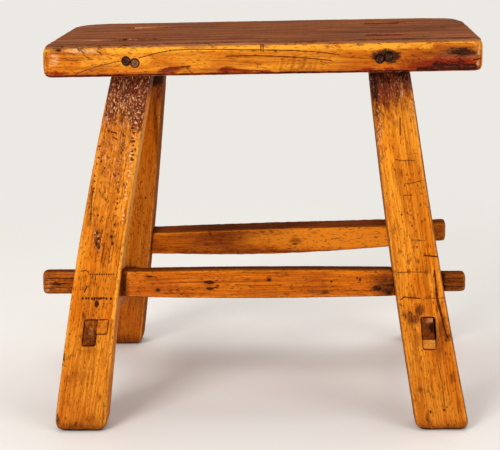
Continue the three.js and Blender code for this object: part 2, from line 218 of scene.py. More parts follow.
class StageSizes(bpy.types.PropertyGroup):
    """Camera, floor and lamps."""
    camera_place: bpy.props.FloatVectorProperty(
        name="Camera place", description="Where the camera stands", subtype="TRANSLATION", unit="LENGTH",
        default=(0.057743, -1.409769, 0.539134))
    camera_pitch: scalar("Camera pitch", "How far the camera looks down", 0.249513, "ROTATION")
    camera_yaw: scalar("Camera yaw", "How far the camera turns to the right", -0.0506, "ROTATION")
    camera_roll: scalar("Camera roll", "How far the camera leans over", -0.023614, "ROTATION")
    lens: scalar("Lens", "Focal length in millimetres on a 36 mm sensor", 95.92)
    floor: srgb("Floor", "Colour of the floor", 244, 240, 234)
    backdrop: srgb("Backdrop", "Colour behind the floor", 236, 233, 228)
    fade_start: length("Fade start", "How far from the stool the floor begins to fade into the backdrop", 350)
    fade_end: length("Fade end", "How far from the stool the floor is all backdrop", 1100)
    ambient: scalar("Ambient", "Level of the light from all round", 0.52)
    reflected: srgb("Reflected", "Colour that the wax reflects from all round", 108, 82, 62)
    key_power: scalar("Key power", "Power of the large lamp at the front left", 38, "POWER")
    fill_power: scalar("Fill power", "Power of the lamp at the front right", 15, "POWER")
    top_power: scalar("Top power", "Power of the lamp overhead", 20, "POWER")


FINISHES = {
    "seat_wood": ("stool_seat", SeatFinish),
    "leg_wood": ("stool_legs", LegFinish),
    "rail_wood": ("stool_rails", RailFinish),
    "wedge_wood": ("stool_wedges", WedgeFinish),
    "peg_wood": ("stool_pegs", PegFinish),
}


def linear(colour):
    """A screen colour as the linear colour that a shader takes."""
    return (*Color(colour).from_srgb_to_scene_linear(), 1)


# Shader groups

def feed(tree, socket, value):
    """Joins a socket to an input, or sets the input to a plain value."""
    if isinstance(value, bpy.types.NodeSocket):
        tree.links.new(value, socket)
    else:
        socket.default_value = value


def new_group(name, inputs, outputs):
    """An empty shader group, and its input and output nodes."""
    tree = bpy.data.node_groups.new(name, "ShaderNodeTree")
    for title, kind in inputs:
        tree.interface.new_socket(title, in_out="INPUT", socket_type=f"NodeSocket{kind}")
    for title, kind in outputs:
        tree.interface.new_socket(title, in_out="OUTPUT", socket_type=f"NodeSocket{kind}")
    return tree, tree.nodes.new("NodeGroupInput").outputs, tree.nodes.new("NodeGroupOutput").inputs


def use_group(tree, name, **values):
    """Places a group in a tree, fed by values whose keys are its input names with spaces as underscores."""
    node = tree.nodes.new("ShaderNodeGroup")
    node.node_tree = bpy.data.node_groups[name]
    for key, value in values.items():
        feed(tree, node.inputs[key.replace("_", " ").title()], value)
    return node.outputs


def number(tree, operation, first, second=0.0, third=0.0):
    """A Math node's result."""
    node = tree.nodes.new("ShaderNodeMath")
    node.operation = operation
    for socket, value in zip(node.inputs, (first, second, third)):
        feed(tree, socket, value)
    return node.outputs[0]


def stretched(tree, vector, along, across):
    """A vector whose first axis, the grain, runs at one scale and the other two at another."""
    node = tree.nodes.new("ShaderNodeVectorMath")
    node.operation = "MULTIPLY"
    feed(tree, node.inputs[0], vector)
    node.inputs[1].default_value = (along, across, across)
    return node.outputs[0]


def noise(tree, vector, along, across, detail=2.0, roughness=0.5, distortion=0.0):
    """A noise from 0 to 1, with so many cells to a metre along the grain and across it."""
    cells = stretched(tree, vector, along, across)
    node = tree.nodes.new("ShaderNodeTexNoise")
    feed(tree, node.inputs["Vector"], cells)
    node.inputs["Scale"].default_value = 1
    node.inputs["Detail"].default_value = detail
    node.inputs["Roughness"].default_value = roughness
    node.inputs["Distortion"].default_value = distortion
    return node.outputs["Fac"]


def ramp(tree, value, low, high, out_low=0.0, out_high=1.0):
    """A smooth step from one value to another."""
    node = tree.nodes.new("ShaderNodeMapRange")
    node.interpolation_type = "SMOOTHSTEP"
    for title, item in (("Value", value), ("From Min", low), ("From Max", high),
                        ("To Min", out_low), ("To Max", out_high)):
        feed(tree, node.inputs[title], item)
    return node.outputs["Result"]


def blend(tree, factor, under, over):
    """Two colours mixed by a factor."""
    node = tree.nodes.new("ShaderNodeMix")
    node.data_type = "RGBA"
    node.clamp_factor = True
    # a Mix node has its colour sockets after those for numbers and vectors
    feed(tree, node.inputs[0], factor)
    feed(tree, node.inputs[6], under)
    feed(tree, node.inputs[7], over)
    return node.outputs[2]


def put_out(tree, result, **sockets):
    """Joins sockets to a group's outputs, whose names are the keys with a capital."""
    for key, socket in sockets.items():
        feed(tree, result[key.title()], socket)


def build_long_grain():
    """Streaks, growth lines, dashes, blotches and patches along the grain, the vector's first axis."""
    titles = ("Streaks", "Bands", "Lines", "Dashes", "Blotches", "Patches", "Relief")
    tree, given, result = new_group(
        "Long Grain", [("Vector", "Vector")], [(title, "Float") for title in titles])
    vector = given["Vector"]
    fine = noise(tree, vector, 16, 640, detail=3, roughness=0.62, distortion=0.35)
    broad = noise(tree, vector, 8, 130, detail=3, roughness=0.55, distortion=0.4)
    streaks = ramp(tree, number(tree, "MULTIPLY_ADD", fine, 0.65, number(tree, "MULTIPLY", broad, 0.35)),
                   0.43, 0.62)
    bands = ramp(tree, noise(tree, vector, 7, 84, detail=4, roughness=0.7), 0.40, 0.64)
    wander = noise(tree, vector, 7, 26, detail=2)
    bent = tree.nodes.new("ShaderNodeVectorMath")
    bent.operation = "MULTIPLY_ADD"
    feed(tree, bent.inputs[0], wander)
    bent.inputs[1].default_value = (0, 0.030, 0.022)
    feed(tree, bent.inputs[2], vector)
    wave = tree.nodes.new("ShaderNodeTexWave")
    wave.wave_type = "RINGS"
    wave.rings_direction = "X"
    wave.wave_profile = "SAW"
    feed(tree, wave.inputs["Vector"], bent.outputs[0])
    wave.inputs["Scale"].default_value = 60
    wave.inputs["Distortion"].default_value = 0.8
    wave.inputs["Detail"].default_value = 3
    wave.inputs["Detail Scale"].default_value = 0.5
    rings = ramp(tree, wave.outputs["Fac"], 0.6, 1.0)
    dashes = ramp(tree, noise(tree, vector, 190, 820, detail=1.5, roughness=0.6), 0.58, 0.69)
    blotches = ramp(tree, noise(tree, vector, 85, 150, detail=3, roughness=0.68), 0.585, 0.70)
    clouds = ramp(tree, noise(tree, vector, 12, 36, detail=4, roughness=0.65), 0.3, 0.7)
    relief = number(tree, "MULTIPLY_ADD", fine, 0.8, number(tree, "MULTIPLY", rings, -0.3))
    put_out(tree, result, streaks=streaks, bands=bands, lines=rings, dashes=dashes, blotches=blotches,
            patches=clouds, relief=relief)


def build_ragged_mask():
    """Breaks the soft border of a mask into the ragged patches of old dirt and worn wax."""
    tree, given, result = new_group(
        "Ragged Mask",
        [("Vector", "Vector"), ("Mask", "Float"), ("Breakup", "Float"), ("Softness", "Float")],
        [("Mask", "Float")])
    coarse = noise(tree, given["Vector"], 90, 260, detail=3, roughness=0.65)
    fine = noise(tree, given["Vector"], 320, 900, detail=2, roughness=0.6)
    mottle = number(tree, "MULTIPLY_ADD", coarse, 0.62, number(tree, "MULTIPLY", fine, 0.38))
    spread = number(tree, "MULTIPLY", number(tree, "SUBTRACT", mottle, 0.5), given["Breakup"])
    present = ramp(tree, given["Mask"], 0.0, 0.2)
    value = number(tree, "MULTIPLY_ADD", number(tree, "MULTIPLY", spread, present), 3.2, given["Mask"])
    low = number(tree, "SUBTRACT", 0.5, given["Softness"])
    high = number(tree, "ADD", 0.5, given["Softness"])
    feed(tree, result["Mask"], ramp(tree, value, low, high))


def warped(tree, vector, along, across, amount):
    """A stretched vector pushed about by a noise, so that cells lose their round shape."""
    base = stretched(tree, vector, along, across)
    push = tree.nodes.new("ShaderNodeTexNoise")
    feed(tree, push.inputs["Vector"], base)
    push.inputs["Scale"].default_value = 1.7
    push.inputs["Detail"].default_value = 2
    node = tree.nodes.new("ShaderNodeVectorMath")
    node.operation = "MULTIPLY_ADD"
    feed(tree, node.inputs[0], push.outputs["Color"])
    node.inputs[1].default_value = (amount, amount, amount)
    feed(tree, node.inputs[2], base)
    return node.outputs[0]


def build_specks():
    """Small dark pits of several sizes, scattered in the cells of the wood."""
    tree, given, result = new_group(
        "Specks", [("Vector", "Vector"), ("Amount", "Float")], [("Mask", "Float")])
    masks = []
    for along, across in ((110, 200), (240, 460)):
        cells = tree.nodes.new("ShaderNodeTexVoronoi")
        feed(tree, cells.inputs["Vector"], warped(tree, given["Vector"], along, across, 0.9))
        cells.inputs["Scale"].default_value = 1
        chance = tree.nodes.new("ShaderNodeSeparateColor")
        feed(tree, chance.inputs[0], cells.outputs["Color"])
        kept = number(tree, "LESS_THAN", chance.outputs[0], given["Amount"])
        size = number(tree, "MULTIPLY_ADD", chance.outputs[1], 0.28, 0.15)
        spot = ramp(tree, cells.outputs["Distance"], number(tree, "MULTIPLY", size, 0.3), size, 1.0, 0.0)
        depth = number(tree, "MULTIPLY_ADD", chance.outputs[2], 0.6, 0.4)
        masks.append(number(tree, "MULTIPLY", kept, number(tree, "MULTIPLY", spot, depth)))
    feed(tree, result["Mask"], number(tree, "MAXIMUM", *masks))


def build_crust():
    """The crazed dark network of thick varnish that has crumbled, and pale specks painted as glints on it."""
    tree, given, result = new_group(
        "Crust", [("Vector", "Vector")], [("Cracks", "Float"), ("Glints", "Float"), ("Mottle", "Float")])
    cells = tree.nodes.new("ShaderNodeTexVoronoi")
    cells.feature = "DISTANCE_TO_EDGE"
    feed(tree, cells.inputs["Vector"], warped(tree, given["Vector"], 230, 390, 1.3))
    cells.inputs["Scale"].default_value = 1
    edges = ramp(tree, cells.outputs["Distance"], 0.02, 0.20, 1.0, 0.0)
    broken = ramp(tree, noise(tree, given["Vector"], 120, 260, detail=2), 0.42, 0.58)
    glints = ramp(tree, noise(tree, given["Vector"], 250, 860, detail=2, roughness=0.7), 0.54, 0.66)
    mottle = ramp(tree, noise(tree, given["Vector"], 190, 420, detail=3, roughness=0.75), 0.36, 0.64)
    put_out(tree, result, cracks=number(tree, "MULTIPLY", edges, broken), glints=glints, mottle=mottle)


def build_aged_finish():
    """Colour, roughness and relief of old waxed wood, from its tones and the masks of its wear."""
    tones = ("Light", "Middle", "Deep", *(f"{mask} Tone".title() for mask in TONED))
    values = (*(mask.title() for mask in MASKS), "Streaks", "Specks", "Roughness")
    colours, levels = [(title, "Color") for title in tones], [(title, "Float") for title in values]
    tree, given, result = new_group(
        "Aged Finish", [("Vector", "Vector"), *colours, *levels],
        [("Color", "Color"), ("Roughness", "Float"), ("Coat", "Float"), ("Relief", "Float")])
    vector = given["Vector"]
    grain = use_group(tree, "Long Grain", vector=vector)
    specks = use_group(tree, "Specks", vector=vector, amount=given["Specks"])["Mask"]
    crust = use_group(tree, "Crust", vector=vector)

    def ragged(title, breakup, softness):
        return use_group(tree, "Ragged Mask", vector=vector, mask=given[title], breakup=breakup,
                         softness=softness)["Mask"]

    def times(first, second):
        return number(tree, "MULTIPLY", first, second)

    wood = blend(tree, grain["Patches"], given["Middle"], given["Light"])
    wood = blend(tree, times(grain["Streaks"], given["Streaks"]), wood, given["Deep"])
    for layer, strength in (("Lines", 0.28), ("Bands", 0.20), ("Blotches", 0.5)):
        wood = blend(tree, times(grain[layer], strength), wood, given["Deep"])
    # the shade mask pulls towards the deep tone: painted shade on the back legs and the rear rail, darker
    # towards the floor, and darker ribs and stains
    wood = blend(tree, given["Shade"], wood, given["Deep"])
    # the arris mask lays the pale polished-edge tone, and some marks use it as painted light and highlights
    arris = ragged("Arris", 0.45, 0.30)
    wood = blend(tree, times(arris, 0.7), wood, given["Arris Tone"])
    handled = ragged("Handled", 0.30, 0.40)
    rubbed = blend(tree, times(grain["Patches"], 0.24), given["Handled Tone"], given["Middle"])
    rubbed = blend(tree, times(number(tree, "MAXIMUM", grain["Streaks"], grain["Lines"]), 0.36), rubbed,
                   given["Grime Tone"])
    rubbed = blend(tree, times(grain["Bands"], 0.42), rubbed, given["Grime Tone"])
    wood = blend(tree, handled, wood, rubbed)
    wood = blend(tree, times(arris, 0.12), wood, given["Arris Tone"])
    red = ragged("Red", 0.55, 0.30)
    stain = blend(tree, times(grain["Streaks"], 0.55), given["Red Tone"], given["Grime Tone"])
    wood = blend(tree, times(red, 0.94), wood, stain)
    dark = number(tree, "MAXIMUM", times(specks, 0.8), times(grain["Dashes"], times(given["Streaks"], 1.1)))
    wood = blend(tree, dark, wood, given["Cut Tone"])
    grime = ragged("Grime", 0.60, 0.22)
    wood = blend(tree, times(grime, 0.94), wood, given["Grime Tone"])
    rough = ragged("Rough", 0.35, 0.40)
    crazed = times(number(tree, "MAXIMUM", crust["Cracks"], times(crust["Mottle"], 0.30)), rough)
    wood = blend(tree, times(crazed, 0.62), wood, given["Cut Tone"])
    # painted glints: pale specks in the chip tone stand for highlights on the crumbled varnish
    glints = times(crust["Glints"], ramp(tree, rough, 0.25, 1.0, 0.16, 0.85))
    wood = blend(tree, times(glints, rough), wood, given["Bare Tone"])
    # the bare mask shows chips, and some marks use it as painted highlights
    bare = ragged("Bare", 0.60, 0.25)
    wood = blend(tree, times(bare, 0.85), wood, given["Bare Tone"])
    broken = ramp(tree, grain["Streaks"], 0.0, 1.0, 0.08, 0.30)
    cut = ramp(tree, given["Cut"], broken, 0.62)
    wood = blend(tree, times(cut, 0.92), wood, given["Cut Tone"])

    shut = number(tree, "MAXIMUM", bare, cut)
    level = given["Roughness"]
    for layer, rise in ((grain["Streaks"], 0.10), (handled, 0.24), (shut, 0.22), (dark, 0.18)):
        level = number(tree, "MULTIPLY_ADD", layer, rise, level)
    open_wax = number(tree, "SUBTRACT", 1.0, number(tree, "MAXIMUM", shut, times(handled, 0.95)))
    relief = grain["Relief"]
    for layer, rise in ((dark, -0.9), (grime, 0.35), (crazed, -1.6), (cut, -0.8)):
        relief = number(tree, "MULTIPLY_ADD", layer, rise, relief)
    put_out(tree, result, color=wood, roughness=level, coat=times(open_wax, 0.18), relief=relief)


def wood_material(slot):
    """The material of one of the record's slots, with its tones from the scene's properties."""
    name = f"old_{slot}"
    if name in bpy.data.materials:
        return bpy.data.materials[name]
    tones = getattr(bpy.context.scene, FINISHES[slot][0])
    material = bpy.data.materials.new(name)
    material.use_nodes = True
    tree = material.node_tree
    shader = tree.nodes["Principled BSDF"]
    read = {}
    for title in ("grain", *MASKS):
        read[title] = tree.nodes.new("ShaderNodeAttribute")
        read[title].attribute_name = title
    aged = use_group(
        tree, "Aged Finish", vector=read["grain"].outputs["Vector"],
        light=linear(tones.light), middle=linear(tones.middle), deep=linear(tones.deep),
        streaks=tones.streaks, specks=tones.specks, roughness=tones.roughness,
        **{f"{mask}_tone": linear(getattr(tones, mask)) for mask in TONED},
        **{mask: read[mask].outputs["Fac"] for mask in MASKS})
    bump = tree.nodes.new("ShaderNodeBump")
    bump.inputs["Strength"].default_value = 0.6
    bump.inputs["Distance"].default_value = 0.45 * MM
    feed(tree, bump.inputs["Height"], aged["Relief"])
    feed(tree, shader.inputs["Base Color"], aged["Color"])
    feed(tree, shader.inputs["Roughness"], aged["Roughness"])
    # the wax gives out towards the rims, where the pale surroundings would whiten it
    facing = tree.nodes.new("ShaderNodeLayerWeight").outputs["Facing"]
    waxed = ramp(tree, facing, 0.65, 0.95, 1.0, 0.0)
    feed(tree, shader.inputs["Coat Weight"], number(tree, "MULTIPLY", aged["Coat"], waxed))
    feed(tree, shader.inputs["Normal"], bump.outputs["Normal"])
    shader.inputs["Coat Roughness"].default_value = 0.20
    shader.inputs["Specular IOR Level"].default_value = 0.01
    return material


# Meshes

def alone(piece):
    """Selects one piece and nothing else."""
    bpy.ops.object.select_all(action="DESELECT")
    piece.select_set(True)
    bpy.context.view_layer.objects.active = piece


def copy_of_node(node, name):
    """A copy of a CAD node as one merged skin, free to be carved."""
    alone(frame["nodes"][node])
    bpy.ops.object.duplicate()
    piece = bpy.context.object
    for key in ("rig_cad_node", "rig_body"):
        del piece[key]
    piece.parent = None
    piece.name = piece.data.name = name
    piece.data.materials.clear()
    bpy.ops.object.mode_set(mode="EDIT")
    bpy.ops.mesh.select_all(action="SELECT")
    bpy.ops.mesh.remove_doubles(threshold=0.01 * MM)
    bpy.ops.mesh.normals_make_consistent(inside=False)
    bpy.ops.object.mode_set(mode="OBJECT")
    return piece


def apply_modifier(piece, kind, **settings):
    """Adds one modifier to the selected piece, sets it up and applies it."""
    modifier = piece.modifiers.new(kind.title(), kind)
    for key, value in settings.items():
        setattr(modifier, key, value)
    bpy.ops.object.modifier_apply(modifier=modifier.name)


def remesh(piece, spacing):
    """Gives the selected piece an even surface of this spacing."""
    voxel = spacing * 1
    apply_modifier(piece, "REMESH", mode="VOXEL", voxel_size=voxel, use_smooth_shade=True)


def select_faces(piece, chosen):
    """Selects the chosen faces of the active piece in edit mode, and stays there."""
    bpy.ops.object.mode_set(mode="EDIT")
    bpy.ops.mesh.select_all(action="DESELECT")
    bpy.ops.object.mode_set(mode="OBJECT")
    piece.data.polygons.foreach_set("select", chosen)
    bpy.ops.object.mode_set(mode="EDIT")
    bpy.ops.mesh.select_mode(type="FACE")


def split_faces(piece, chosen):
    """Splits each chosen face of a piece in four."""
    alone(piece)
    select_faces(piece, chosen)
    bpy.ops.mesh.subdivide(number_cuts=1, smoothness=0)
    bpy.ops.object.mode_set(mode="OBJECT")


def read_vectors(items, name):
    """A vector property of many vertices as an array with a row for each."""
    values = np.empty(len(items) * 3, np.float32)
    items.foreach_get(name, values)
    return values.reshape(-1, 3).astype(float)


def read_numbers(items, name):
    """A whole-number property of many items as an array."""
    values = np.empty(len(items), np.int32)
    items.foreach_get(name, values)
    return values


def turning(mesh, passes=3):
    """How sharply the surface turns: near 0 on a flat, towards 1 on an arris, below 0 in a corner."""
    pairs = np.empty(len(mesh.edges) * 2, np.int32)
    mesh.edges.foreach_get("vertices", pairs)
    start, end = pairs.reshape(-1, 2).T
    place, normal = read_vectors(mesh.vertices, "co"), read_vectors(mesh.vertices, "normal")
    step = place[end] - place[start]
    bend = ((normal[end] - normal[start]) * step).sum(1) / np.maximum((step * step).sum(1), 1e-12)
    count = len(place)
    joined = np.bincount(start, minlength=count) + np.bincount(end, minlength=count)

    def spread(to_start, to_end):
        return (np.bincount(start, to_start, count) + np.bincount(end, to_end, count)) / np.maximum(joined, 1)

    value = spread(bend, bend)
    for _ in range(passes):
        value = (value + spread(value[end], value[start])) / 2
    return value * ARRIS_RADIUS


def gaps_beside(node, places, reach):
    """How far each place lies from the nearest other piece of the fixed frame, no more than a reach."""
    low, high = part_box(node)
    gaps = np.full(len(places), reach)
    for other, solid in frame["nodes"].items():
        other_low, other_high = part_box(other)
        apart = [max(other_low[axis] - high[axis], low[axis] - other_high[axis]) for axis in range(3)]
        if other == node or max(apart) > reach:
            continue
        corners = [solid.matrix_world @ vertex.co for vertex in solid.data.vertices]
        tree = BVHTree.FromPolygons(corners, [face.vertices[:] for face in solid.data.polygons])
        close = (places > np.array(other_low) - reach) & (places < np.array(other_high) + reach)
        for index in np.flatnonzero(close.all(1)):
            gap = tree.find_nearest(places[index], reach)[3]
            if gap is not None and gap < gaps[index]:
                gaps[index] = gap
    return gaps


# An edge as tight as this is a full arris
ARRIS_RADIUS = 5.5 * MM
# A mark narrower than this, in millimetres, has the faces under it and a margin round it split
THIN_MARK = 4.2
THIN_MARGIN = 2.2
# Dirt lies in the joints up to this gap from the next piece, and edges are worn beyond it
JOINT_LINE = 0.65 * MM
# A face is let out from this gap on, and fully when it lies this much further off
FREE_FROM = 0.45 * MM
FREE_SPAN = 0.6 * MM
# The most dirt that a joint holds
JOINT_DIRT = 0.42
# How many times longer than wide the raised fibres are
FIBRE_LENGTH = 18
# A cloud's highest value. Measuring from it carves inwards only.
CLOUD_CONTRAST = 1.4
CLOUD_TOP = 0.5 + CLOUD_CONTRAST / 2
FACES = {
    "front": (0, 2, (0, -1, 0)), "back": (0, 2, (0, 1, 0)),
    "left": (1, 2, (-1, 0, 0)), "right": (1, 2, (1, 0, 0)),
    "top": (0, 1, (0, 0, 1)), "under": (0, 1, (0, 0, -1)),
}
# A patch is an oval, a line follows points. Places are shares across and up a face, sizes are millimetres.
Patch = namedtuple("Patch", "mask across up wide tall strength face", defaults=("front",))
Line = namedtuple("Line", "mask points width strength face", defaults=("front",))
# A corner worn round. Its place is in shares of the piece's box, its radius in millimetres.
Corner = namedtuple("Corner", "place radius strength")


def patches(mask, *rows, face="front"):
    """Patches of one mask on one face, each from its place, size and strength."""
    return [Patch(mask, *row, face) for row in rows]


def lines(mask, *rows, face="front"):
    """Lines of one mask on one face, each from its points, width and strength."""
    return [Line(mask, *row, face) for row in rows]


def dots(places, size, strength=0.9, mask="cut", face="front"):
    """A row of small pricks or spots, each at its own place."""
    return [Patch(mask, across, up, size, size * 1.2, strength, face) for across, up in places]


def ticks(mask, start, end, count, widths, strength, seed):
    """A ragged row of short strokes that lie across the way from a start to an end."""
    draw = np.random.RandomState(seed)
    strokes = []
    for step in range(count):
        slip = draw.uniform(-0.3, 0.3)
        across, up = np.array(start) + (np.array(end) - start) * (step + slip) / (count - 1)
        wide, tall = draw.uniform(*widths), draw.uniform(1.2, 2.4)
        across += draw.uniform(-0.03, 0.03)
        strokes.append(Patch(mask, across, up, wide, tall, strength * draw.uniform(0.6, 1)))
    return strokes


class WornSurface:
    """The vertices of one carved piece, with the masks of its wear."""

    def __init__(self, piece, node, marks=(), tapered=False, fills=False, polish=1.0):
        self.piece, self.tapered = piece, tapered
        self.measure()
        self.sharpen(marks)
        turn = turning(piece.data)
        reach = bpy.context.scene.stool_wear.joint_reach
        self.gaps = gaps_beside(node, self.place, reach)
        free = np.clip((self.gaps - JOINT_LINE) / (reach - JOINT_LINE), 0, 1)
        self.masks = {mask: np.zeros(len(self.place)) for mask in (*MASKS, "worn")}
        self.masks["bites"] = np.clip(turn * 1.6 - 0.2, 0, 1) * free
        self.masks["arris"] = self.masks["bites"] * polish
        # a piece that fills a hole is let out all over, any other one only beyond its joints
        away = np.clip((self.gaps - FREE_FROM) / FREE_SPAN, 0, 1)
        self.masks["free"] = np.full(len(self.place), 1.0) if fills else away
        self.masks["grime"] = np.clip(1.1 - self.gaps / JOINT_LINE, 0, JOINT_DIRT)
        self.mark(marks)

    def measure(self):
        """Reads the vertices, and where a leaning leg's edges lie."""
        self.place = read_vectors(self.piece.data.vertices, "co")
        self.normal = read_vectors(self.piece.data.vertices, "normal")
        self.low, self.high = self.place.min(0), self.place.max(0)
        self.edges = self.trace_edges() if self.tapered else None

    def sharpen(self, marks):
        """Splits the faces under thin lines and small spots, so that they come out crisp."""
        thin = [item for item in marks
                if (item.width if isinstance(item, Line) else min(item.wide, item.tall)) < THIN_MARK]
        if not thin:
            return
        level = np.zeros(len(self.place))
        for item in thin:
            if isinstance(item, Line):
                item = item._replace(width=item.width + THIN_MARGIN)
            else:
                item = item._replace(wide=item.wide + THIN_MARGIN, tall=item.tall + THIN_MARGIN)
            level = np.maximum(level, self.level_of(item) * (self.facing(item.face) > 0))
        mesh = self.piece.data
        under = level[read_numbers(mesh.loops, "vertex_index")] > 0
        split_faces(self.piece, np.add.reduceat(under, read_numbers(mesh.polygons, "loop_start")) > 0)
        self.measure()

    def trace_edges(self, steps=26):
        """The left and right edge of a leaning leg at a row of heights."""
        heights = np.linspace(self.low[2], self.high[2], steps + 1)
        row = np.rint((self.place[:, 2] - heights[0]) / (heights[1] - heights[0])).astype(int)
        across = [self.place[row == step, 0] for step in range(steps + 1)]
        return heights, [xs.min() for xs in across], [xs.max() for xs in across]

    def spot(self, face, across, up):
        """A place on a face, in metres along the face's two axes."""
        first, second, _ = FACES[face]
        height = self.low[second] + up * (self.high[second] - self.low[second])
        left, right = self.low[first], self.high[first]
        if self.tapered and (first, second) == (0, 2):
            heights, lefts, rights = self.edges
            left, right = np.interp(height, heights, lefts), np.interp(height, heights, rights)
        return np.array((left + across * (right - left), height))

    def facing(self, face):
        """How squarely each vertex faces the same way as a face, from 0 to 1."""
        return np.clip((self.normal @ np.array(FACES[face][2], float) - 0.25) * 2.5, 0, 1)

    def add(self, mask, values):
        """Raises a mask to these values where they are higher."""
        self.masks[mask] = np.maximum(self.masks[mask], values)

    def mark(self, marks):
        """Lays patches and lines on their faces."""
        for item in marks:
            self.add(item.mask, self.level_of(item) * item.strength * self.facing(item.face))

    def level_of(self, item):
        """How strongly a patch or a line covers each vertex, from 0 to 1."""
        here = self.place[:, FACES[item.face][:2]]
        if isinstance(item, Patch):
            half = np.array((item.wide, item.tall)) * MM / 2
            reach = (here - self.spot(item.face, item.across, item.up)) / half
            return np.clip(1.45 - 0.9 * np.sqrt((reach * reach).sum(1)), 0, 1)
        points = [self.spot(item.face, *point) for point in item.points]
        level = np.zeros(len(here))
        for start, end in zip(points, points[1:]):
            run = end - start
            part = np.clip((here - start) @ run / max(run @ run, 1e-12), 0, 1)
            gap = np.linalg.norm(here - start - part[:, None] * run, axis=1)
            level = np.maximum(level, np.clip(1.6 - gap / (item.width * MM / 2), 0, 1))
        return level

    def wear_corners(self, corners):
        """Marks the corners that are worn round."""
        for corner in corners:
            centre = self.low + np.array(corner.place) * (self.high - self.low)
            gap = np.linalg.norm(self.place - centre, axis=1) / (corner.radius * MM)
            self.add("worn", np.clip(1.6 - 1.6 * gap, 0, 1) * corner.strength)

    def scatter(self, mask, count, smallest, largest, strength, seed, stretch=(1, 1, 1), where=None):
        """Drops round or drawn-out spots at random places, the same ones each run."""
        draw = np.random.RandomState(seed)
        scaled = self.place / np.array(stretch)
        tree = KDTree(len(scaled))
        for index, point in enumerate(scaled):
            tree.insert(point, index)
        tree.balance()
        allowed = np.arange(len(scaled)) if where is None else np.flatnonzero(where)
        if not len(allowed):
            return
        level = self.masks[mask].copy()
        for _ in range(count):
            centre = scaled[allowed[draw.randint(len(allowed))]]
            radius = draw.uniform(smallest, largest) * MM / 2
            power = strength * draw.uniform(0.5, 1)
            for _, index, gap in tree.find_range(centre, radius):
                level[index] = max(level[index], power * min(1, 1.5 * (1 - gap / radius)))
        self.masks[mask] = level


def weigh(piece, name, weights):
    """A vertex group with a weight for each vertex."""
    group = piece.vertex_groups.new(name=name)
    group.add(np.flatnonzero(weights >= 1).tolist(), 1.0, "REPLACE")
    for index in np.flatnonzero((weights > 0.004) & (weights < 1)):
        group.add([int(index)], float(weights[index]), "REPLACE")


def cloud(name, size):
    """A soft noise texture for carving, with cells of one size."""
    texture = bpy.data.textures.get(name) or bpy.data.textures.new(name, "CLOUDS")
    texture.noise_scale = size
    texture.noise_depth = 2
    texture.intensity, texture.contrast = 1.0, CLOUD_CONTRAST
    return texture


def carve(piece, surface, grain_turn, grain_centre):
    """Lets the free faces out a little, then carves in plane marks, dents, grain, bites, cracks and chips."""
    wear = bpy.context.scene.stool_wear
    ruler = bpy.data.objects.new("grain_ruler", None)
    bpy.context.scene.collection.objects.link(ruler)
    drawn_out = Matrix.Diagonal((FIBRE_LENGTH, 1, 1, 1))
    ruler.matrix_world = Matrix.Translation(grain_centre) @ grain_turn.to_4x4() @ drawn_out
    bpy.context.view_layer.update()
    alone(piece)
    for name in ("bites", "cut", "bare", "rough", "worn", "free"):
        weigh(piece, name, np.clip(surface.masks[name], 0, 1))
    apply_modifier(piece, "SMOOTH", factor=0.9, iterations=wear.worn_passes, vertex_group="worn")
    apply_modifier(piece, "DISPLACE", strength=wear.allowance, mid_level=0, vertex_group="free")
    for name, size, depth, group in (
            ("Waves", wear.wave_size, wear.wave_depth, ""),
            ("Dents", wear.dent_size, wear.dent_depth, ""),
            ("Crust", wear.crust_size, wear.crust_depth, "rough"),
            ("Bites", wear.arris_size, wear.arris_depth, "bites")):
        apply_modifier(piece, "DISPLACE", texture=cloud(name, size), texture_coords="LOCAL",
                       strength=depth, mid_level=CLOUD_TOP, vertex_group=group)
    apply_modifier(piece, "DISPLACE", texture=cloud("Fibres", wear.fibre_size), texture_coords="OBJECT",
                   texture_coords_object=ruler, strength=wear.fibre_depth, mid_level=CLOUD_TOP)
    for group, depth in (("cut", wear.cut_depth), ("bare", wear.chip_depth)):
        apply_modifier(piece, "DISPLACE", vertex_group=group, strength=-depth, mid_level=0)
    bpy.ops.object.vertex_group_remove(all=True)
    bpy.data.objects.remove(ruler)


def finish_piece(piece, surface, slot, nodes, grain_turn, grain_centre, shift):
    """Writes the masks and the grain's own axes on a piece, gives it its wood and sets it in the frame."""
    mesh = piece.data
    for mask in MASKS:
        mesh.attributes.new(mask, "FLOAT", "POINT").data.foreach_set(
            "value", np.clip(surface.masks[mask], 0, 1).astype(np.float32))
    place = np.clip(read_vectors(mesh.vertices, "co"), CAD_BOX[0] + INSIDE, CAD_BOX[1] - INSIDE)
    mesh.vertices.foreach_set("co", place.astype(np.float32).ravel())
    along = (place - np.array(grain_centre)) @ np.array(grain_turn) + np.array(shift)
    mesh.attributes.new("grain", "FLOAT_VECTOR", "POINT").data.foreach_set(
        "vector", along.astype(np.float32).ravel())
    mesh.materials.append(wood_material(slot))
    alone(piece)
    bpy.ops.object.shade_smooth()
    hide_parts(*nodes)
    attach(piece, BODY)


def grain_axes(direction):
    """A turn whose first axis is the grain's direction."""
    along = Vector(direction).normalized()
    side = Vector((0, 1, 0)) if abs(along.y) < 0.7 else Vector((1, 0, 0))
    third = along.cross(side).normalized()
    return Matrix((along, third.cross(along), third)).transposed()


# The pieces

